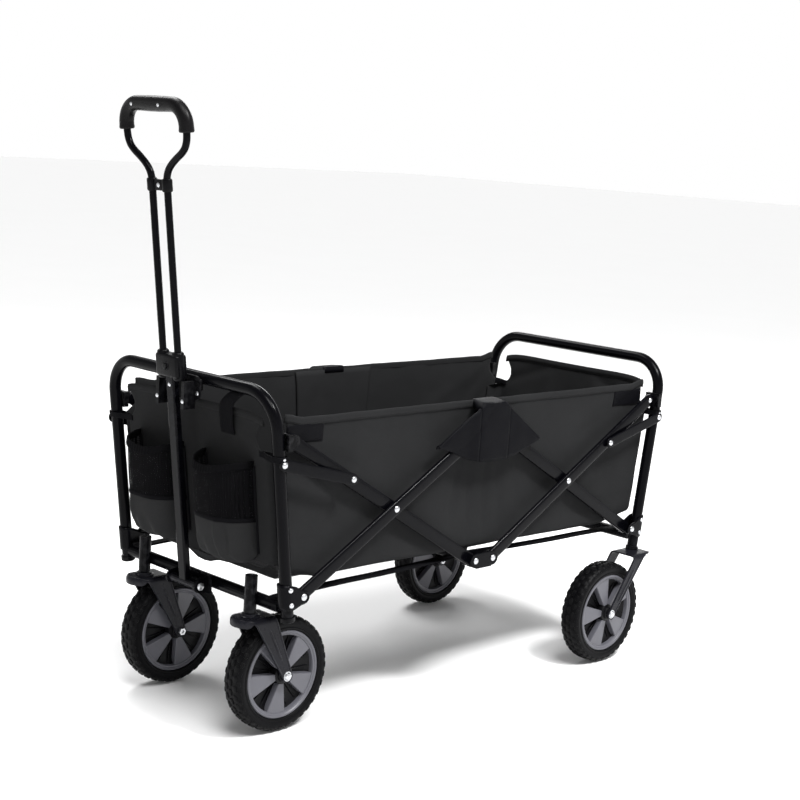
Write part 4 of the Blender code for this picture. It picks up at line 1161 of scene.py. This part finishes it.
def make_sleeve(side_name):
    """The nylon cover over a top bracket: a middle that stays level and an arm down each bar."""
    side = SIDES[side_name]

    def skin(x):
        top, low = through(SLEEVE_TOP, x), through(SLEEVE_LOW, x)
        face = lerp(SLEEVE_FACE, OUTER_BAR[1] + 0.0011, smooth((-x - 0.022) / 0.040))
        column = []
        for t in [i / 14 for i in range(15)]:
            z = lerp(low, top, t)
            puff = 0.0009 * sin(pi * t) + 0.0006 * wander(x, side, z, 40)
            puff -= 0.0009 * exp(-(((x + 0.048 - (t - 0.5) * 0.10) / 0.0022) ** 2))
            column.append((x, side * (face + puff), z))
        over = smooth((0.036 - abs(x)) / 0.014)
        for high, low in zip(OVER_HEM, BESIDE_HEM):
            inward, lift = lerp(low[0], high[0], over), lerp(top + low[1], 0.4890 + high[1], over)
            column.append((x, side * (face - inward), lift))
        return column

    parts = {"front_arm": (-0.124, -0.034), "middle": (-0.034, 0.034), "rear_arm": (0.034, 0.112)}
    made = {}
    for part, (start, end) in parts.items():
        count = 26 if part != "middle" else 22
        rows = [skin(lerp(start, end, i / count)) for i in range(count + 1)]
        stands = [f"fabric_sleeve_{side_name}"] if part == "middle" else ()
        body = "top_centre" if part == "middle" else None
        made[part] = cloth(f"sleeve_{side_name}_{part}", [rows], body, NYLON, 0.0012, stands)
    for part, bars, sign in (("front_arm", "front_bars", -1), ("rear_arm", "rear_bars", 1)):
        start = (CENTRE_X + sign * 0.034, side * SLEEVE_FACE, 0.445)
        end = (CENTRE_X + sign * 0.060, side * SLEEVE_FACE, 0.430)
        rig.blend(made[part], "top_centre", bars, start=start, end=end)

    rows = []
    for i in range(24):
        z = lerp(0.268, 0.4870, i / 23)
        half = lerp(0.070, 0.090, i / 23)
        line = [c / 14 * half for c in range(-14, 15)]
        rows.append([(x, side * (side_face(x, z, side) - 0.0032), z) for x in line])
    gusset = cloth(f"inner_gusset_{side_name}", [rows], "top_centre", FABRIC, 0.0012, sharp=70)
    return made, gusset


def make_patches(side_name):
    """Dark reinforcing patches at a side panel's top corners."""
    side = SIDES[side_name]
    grids = []
    heights = [lerp(0.4520, 0.4800, i / 8) for i in range(9)]
    for start, end in ((-0.4180, -0.3450), (0.3450, 0.4180)):
        line = [lerp(start, end, c / 16) for c in range(17)]
        grids.append([[(x, side * (side_face(x, z, side) + 0.0012), z) for x in line] for z in heights])
    return fold_with_frame(cloth(f"corner_patches_{side_name}", grids, "rear_frame", NYLON, 0.0009))


def make_floor_strap(side_name):
    """The web under the bin's edge, from the front cross tube over the low middle tube to the rear one."""
    points = [(-0.4143, 0.2205), (-0.406, 0.2232), (-0.30, 0.2262), (-0.20, 0.2268), (-0.10, 0.2290)]
    points += [(-0.02, 0.2315), (0.0, 0.2318)]
    points += [(-x, z) for x, z in reversed(points[:-1])]
    line = curve_through([(x, SIDES[side_name] * 0.1700, z) for x, z in points], 6)
    grid = ribbon(line, (0, 1, 0), 0.0200, 3)
    return fold_with_frame(cloth(f"floor_strap_{side_name}", [grid], "rear_frame", TAPE, 0.0020))


# ---- Crossed bars, links and brackets


def add_wrap(bm, end, side):
    """A plate bent round a loop's leg, with an ear each side of the bar's end."""
    pin = abs(bar_pivots(end)["corner"][0])
    reach = leg_x(LOW_Z) - pin
    back = (OUTER_EAR[1] + INNER_EAR[0]) / 2
    radius = (OUTER_EAR[0] + OUTER_EAR[1] - INNER_EAR[0] - INNER_EAR[1]) / 4
    plan = [(reach + 0.0105 * sin(a), -radius) for a in (1.45, 1.2, 0.9, 0.55, 0.0)]
    plan += [(reach * t, -radius) for t in (0.8, 0.6, 0.4, 0.2)]
    plan += [(-radius * cos(a), radius * sin(a)) for a in [radians(d) for d in range(-90, 91, 15)]]
    plan += [(u, -v) for u, v in reversed(plan[:9])]
    rows = []
    for u, v in plan:
        inward = min(1.0, max(0.0, u / reach))
        over = max(0.0, u - reach)
        tip = sqrt(max(1e-7, 0.0105**2 - over**2))
        low = lerp(0.2120, LOW_Z - tip, smooth(inward) if over == 0 else 1.0)
        high = lerp(0.2500, LOW_Z + tip, smooth(inward) if over == 0 else 1.0)
        row = []
        for i in range(9):
            z = lerp(low, high, i / 8)
            row.append((end * (lerp(leg_x(z), leg_x(LOW_Z), inward) - u), side * (back + v), z))
        rows.append(row)
    add_sheet(bm, rows)


def make_linkage():
    for end_name, end in ENDS.items():
        pivots = bar_pivots(end)
        bars, arms = (OUTER_BAR, INNER_BAR) if end < 0 else (INNER_BAR, OUTER_BAR)
        for side_name, side in SIDES.items():
            tag = f"{end_name}_{{}}_{side_name}"
            kinds = (("bar", "corner", "centre_top", bars), ("arm", "centre_low", "arm_end", arms))
            for kind, start, stop, layer in kinds:
                bm = bmesh.new()
                add_bar(bm, pivots[start], pivots[stop], layer, side)
                name = tag.format(f"crossed_{kind}")
                piece(tag.format(f"oval_{kind}"), bm, f"{end_name}_{kind}s", BAR_BLACK, [name])
            bm = bmesh.new()
            add_bar(bm, pivots["leg"], pivots["link"], LINK_LAYER, side, 0.0175, 0.36)
            foot = (pivots["link"][0], side * (arms[1] + 0.0004), pivots["link"][1])
            spacer = [(0.0046, LINK_LAYER[0] - arms[1] - 0.0004), (0.0046, 0), (0, 0)]
            add_turned(bm, spacer, facing(foot, (0, side, 0)), 16)
            piece(tag.format("strap_link"), bm, f"{end_name}_links", BAR_BLACK, [tag.format("link")])
            bm = bmesh.new()
            add_wrap(bm, end, side)
            name = tag.format("corner_bracket")
            wrap = piece(tag.format("wrapped_bracket"), bm, f"{end_name}_frame", FRAME_BLACK, [name], 50)
            thicken(wrap, 0.0018)

    front, rear = bar_pivots(-1), bar_pivots(1)
    for side_name, side in SIDES.items():
        bm = bmesh.new()
        for ear in (INNER_EAR, (CHANNEL_EAR, 0.2080)):
            add_bar(bm, front["centre_top"], rear["centre_top"], ear, side, 0.0250, 0.3)
        web = Matrix.Translation((0, side * 0.1966, front["centre_top"][1] + 0.0138))
        add_block(bm, (0.050, 0.0228, 0.0018), web, 0.0007, 2)
        piece(f"top_channel_{side_name}", bm, "top_centre", FRAME_BLACK, [f"top_bracket_{side_name}"])
    bm = bmesh.new()
    add_tube(bm, [(0, y, 0.2225) for y in (-0.1860, -0.12, -0.06, 0.0, 0.06, 0.12, 0.1860)], 0.0080, 24)
    for side in SIDES.values():
        for ear in (INNER_EAR, (CHANNEL_EAR, 0.2082)):
            add_bar(bm, front["centre_low"], rear["centre_low"], ear, side, 0.0240, 0.3)
        add_block(bm, (0.036, 0.0230, 0.0018), Matrix.Translation((0, side * 0.1967, 0.2163)), 0.0007, 2)
    piece("low_centre_channels", bm, "low_centre", FRAME_BLACK, ["low_centre_carriage"])


# ---- Rivets


def make_rivets():
    groups = {}
    for end_name, end in ENDS.items():
        pivots = bar_pivots(end)
        ends_body = f"{end_name}_frame"
        for side in SIDES.values():
            out = (0, side, 0)

            def rivet(body, pivot, y, radius=0.0056):
                bm = groups.setdefault(body, bmesh.new())
                add_rivet(bm, (pivot[0], side * y, pivot[1]), out, radius)

            outer = OUTER_BAR[1] - 0.0002
            rivet("front_bars" if end < 0 else "rear_arms", pivots["crossing"], outer, 0.0052)
            rivet(ends_body, pivots["corner"], OUTER_EAR[1], 0.0052)
            rivet(ends_body, (end * leg_x(0.2430), 0.2430), OUTER_EAR[1], 0.0040)
            rivet(ends_body, (end * leg_x(0.2200), 0.2200), OUTER_EAR[1], 0.0040)
            rivet("low_centre", pivots["centre_low"], 0.2080, 0.0052)
            rivet(f"{end_name}_links", pivots["leg"], LINK_LAYER[1], 0.0050)
            rivet(f"{end_name}_links", pivots["link"], LINK_LAYER[1], 0.0050)
            rivet(f"{end_name}_arms", pivots["arm_end"], (INNER_BAR if end < 0 else OUTER_BAR)[1], 0.0048)
            rivet(ends_body, (end * leg_x(0.4380), 0.4380), LOOP_HALF_WIDTH + LOOP_RADIUS + 0.0012, 0.0034)
    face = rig.box("handle_holder")[0].x - CENTRE_X
    for y in (-0.0308, 0.0308):
        add_rivet(groups["front_frame"], (face, y, 0.4965), (-1, 0, 0), 0.0032, 0.0016)
    for y, z in ((-0.0395, 0.5085), (0.0395, 0.5085)):
        add_rivet(groups["front_frame"], (-leg_x(LOOP_TOP) - 0.0151, y, z), (-1, 0, 0), 0.0034, 0.0016)
    for side in SIDES.values():
        add_rivet(groups["front_frame"], (HANDLE_X, side * 0.0388, HANDLE_Z), (0, side, 0), 0.0060, 0.0024)
    bm = bmesh.new()
    for y in (-0.038, 0.038):
        clamp = Matrix.Translation((-leg_x(0.521) - 0.0115, y, 0.521))
        add_block(bm, (0.0062, 0.0120, 0.0170), clamp, 0.0018)
    piece("handle_holder_clamps", bm, "front_frame", PLASTIC)
    for body, bm in groups.items():
        piece(f"rivets_{body}", bm, body, STEEL)


# ---- Putting it together


def caster_plate(y):
    """Front and back of a caster's plate at a distance from its middle: the nose is round."""
    nose = 0.0262
    return (-0.4295 - sqrt(max(0.0, nose**2 - min(abs(y), nose) ** 2)), -0.395)


for end_name in ENDS:
    make_end_loop(end_name)
for side_name, side in SIDES.items():
    hub = make_wheel(f"front_wheel_{side_name}", {"near": 46.0, "far": 0.0}[side_name])
    body, node = f"caster_{side_name}", f"caster_fork_{side_name}"
    name = f"caster_fork_pressed_{side_name}"
    make_fork(name, node, body, hub, FRONT_PLATE_Z, (-0.4400, -0.3980), caster_plate, (CASTER_X, hub.y))
    make_axle(f"front_axle_bolt_{side_name}", f"front_axle_{side_name}", body, hub, side)
    hub = make_wheel(f"rear_wheel_{side_name}", {"near": 33.0, "far": 20.0}[side_name])
    name, node = f"rear_fork_pressed_{side_name}", f"rear_fork_{side_name}"
    make_fork(name, node, "rear_frame", hub, REAR_PLATE_Z, (0.3740, 0.4020), lambda y: (0.3710, 0.4240))
    make_axle(f"rear_axle_bolt_{side_name}", f"rear_axle_{side_name}", "rear_frame", hub, side)
make_handle()
bin_shell, board, trims = make_bin()
panels = {end_name: make_end_panel(end_name, f"{end_name}_frame") for end_name in ENDS}
ties = {end_name: make_corner_ties(end_name, f"{end_name}_frame") for end_name in ENDS}
closing_strap = make_front_strap()
pockets, sleeves, patches, floor_straps = {}, {}, {}, {}
for side_name in SIDES:
    pockets[side_name] = make_pocket(side_name)
    sleeves[side_name] = make_sleeve(side_name)
    patches[side_name] = make_patches(side_name)
    floor_straps[side_name] = make_floor_strap(side_name)
make_linkage()
make_rivets()

repaint(PLASTIC, *[f"{end_name}_arm_saddle_{side_name}" for end_name in ENDS for side_name in SIDES])
repaint(PLASTIC, "handle_holder", "latch_button")
repaint(FRAME_BLACK, "front_cross_tube", "rear_cross_tube", "handle_bracket")
repaint(BAR_BLACK, "handle_lower_bar")
for node in ("handle_lower_bar", "handle_bracket", "handle_holder", "latch_button"):
    soften = frame["nodes"][node].modifiers.new("soft_edges", "BEVEL")
    soften.width, soften.segments, soften.limit_method = 0.0009, 3, "ANGLE"
    soften.angle_limit = radians(40)

# ---- Cut sizes of the cloth, in metres, before sewing

trims += list(patches.values())
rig.sheet(bin_shell, flat=(0.84, 0.83), held="hung", rests_on=["low_centre_channels"], with_pieces=trims)
hinges = ["base_board_hinges"]
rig.sheet(board, flat=(0.78, 0.312), held="laid", rests_on=["bin_sides_and_floor"], with_pieces=hinges)
for end_name, (panel, sewn) in panels.items():
    sewn = [*sewn, ties[end_name]]
    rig.sheet(panel, flat=(0.375, 0.245), held="hung", rests_on=[f"{end_name}_end_loop"], with_pieces=sewn)
for side_name in SIDES:
    cloth, net, bindings = pockets[side_name]
    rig.sheet(cloth, flat=(0.175, 0.082), held="gathered", rests_on=["front_panel"], with_pieces=bindings)
    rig.sheet(net, flat=(0.175, 0.082), held="gathered", rests_on=[cloth])
    covers, gusset = sleeves[side_name]
    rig.sheet(covers["middle"], flat=(0.072, 0.132), held="folded", rests_on=[f"top_channel_{side_name}"])
    for end_name in ENDS:
        under = [f"{end_name}_oval_bar_{side_name}"]
        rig.sheet(covers[f"{end_name}_arm"], flat=(0.082, 0.058), held="folded", rests_on=under)
    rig.sheet(gusset, flat=(0.165, 0.219), held="hung", rests_on=["bin_sides_and_floor"])
    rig.sheet(floor_straps[side_name], flat=(0.020, 0.840), held="stretched", rests_on=["low_centre_channels"])
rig.sheet(closing_strap, flat=(0.030, 0.097), held="folded", rests_on=["front_end_loop"])


# ---- Studio

scene = bpy.context.scene
scene.view_settings.view_transform = "Standard"

world = bpy.data.worlds.new("studio")
scene.world = world
world.use_nodes = True
sky = world.node_tree.nodes
sky["Background"].inputs["Color"].default_value = (1.0, 1.0, 1.0, 1.0)
heading = sky.new("ShaderNodeSeparateXYZ")
world.node_tree.links.new(sky.new("ShaderNodeTexCoord").outputs["Generated"], heading.inputs[0])
fade = sky.new("ShaderNodeMapRange")
fade.interpolation_type = "SMOOTHSTEP"
for slot_number, value in ((1, 0.10), (2, 0.50), (3, 1.0), (4, 0.25)):
    fade.inputs[slot_number].default_value = value
world.node_tree.links.new(heading.outputs["Z"], fade.inputs[0])
world.node_tree.links.new(fade.outputs[0], sky["Background"].inputs["Strength"])

bm = bmesh.new()
bmesh.ops.create_grid(bm, x_segments=2, y_segments=2, size=30.0)
floor_mesh = bpy.data.meshes.new("studio_floor")
bm.to_mesh(floor_mesh)
bm.free()
floor = bpy.data.objects.new("studio_floor", floor_mesh)
scene.collection.objects.link(floor)
pale = Finish("pale_floor")
pale_tint = pale.tint((0.90, 0.90, 0.90), 0.01, pale.noise(2.0))
floor_mesh.materials.append(pale.finish(pale_tint, 0.75, pale.bump(pale.noise(30.0), 0.0001)))
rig.stage(floor)


def add_light(name, place, aim, size, power):
    lamp = bpy.data.lights.new(name, "AREA")
    lamp.shape, lamp.size, lamp.energy = "SQUARE", size, power
    light = bpy.data.objects.new(name, lamp)
    light.location = place
    light.rotation_euler = (Vector(aim) - Vector(place)).to_track_quat("-Z", "Y").to_euler()
    scene.collection.objects.link(light)


add_light("key", (0.30, -1.83, 2.84), (0, 0, 0.3), 0.5, 90)
add_light("top", (-0.2, 1.0, 3.0), (0, 0, 0.3), 0.9, 20)
add_light("back_softbox", (0.50, 1.92, 2.72), (0, 0, 0.35), 1.2, 40)
add_light("rear_fill", (2.8, 2.2, 2.0), (0, 0, 0.3), 1.2, 25)
sun = bpy.data.objects.new("sun", bpy.data.lights.new("sun", "SUN"))
sun.data.energy, sun.data.angle = 2.7, radians(30)
sun.rotation_euler = Vector((0.35, 0.75, -1.6)).to_track_quat("-Z", "Y").to_euler()
scene.collection.objects.link(sun)

# The camera stands off the front near corner, turned slightly about its own line of sight.
AZIMUTH, ELEVATION, ROLL = (radians(v) for v in (-45.197, 9.232, 3.585))
ahead = cos(ELEVATION)
look = Vector((-sin(AZIMUTH) * ahead, cos(AZIMUTH) * ahead, -sin(ELEVATION)))
level = Vector((cos(AZIMUTH), sin(AZIMUTH), 0))
upright = level.cross(look)
right = cos(ROLL) * level + sin(ROLL) * upright
up = -sin(ROLL) * level + cos(ROLL) * upright
camera = bpy.data.objects.new("camera", bpy.data.cameras.new("camera"))
camera.data.sensor_width = 36.0
camera.data.lens = 71.61
turned = Matrix((right, up, -look)).transposed().to_4x4()
camera.matrix_world = Matrix.Translation((-1.8532, -1.8726, 0.8919)) @ turned
scene.collection.objects.link(camera)
scene.camera = camera

with open("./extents.json", "w") as size_file:
    json.dump({"cad": CAD_BOX, "visual": [list(corner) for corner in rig.bounds()]}, size_file)
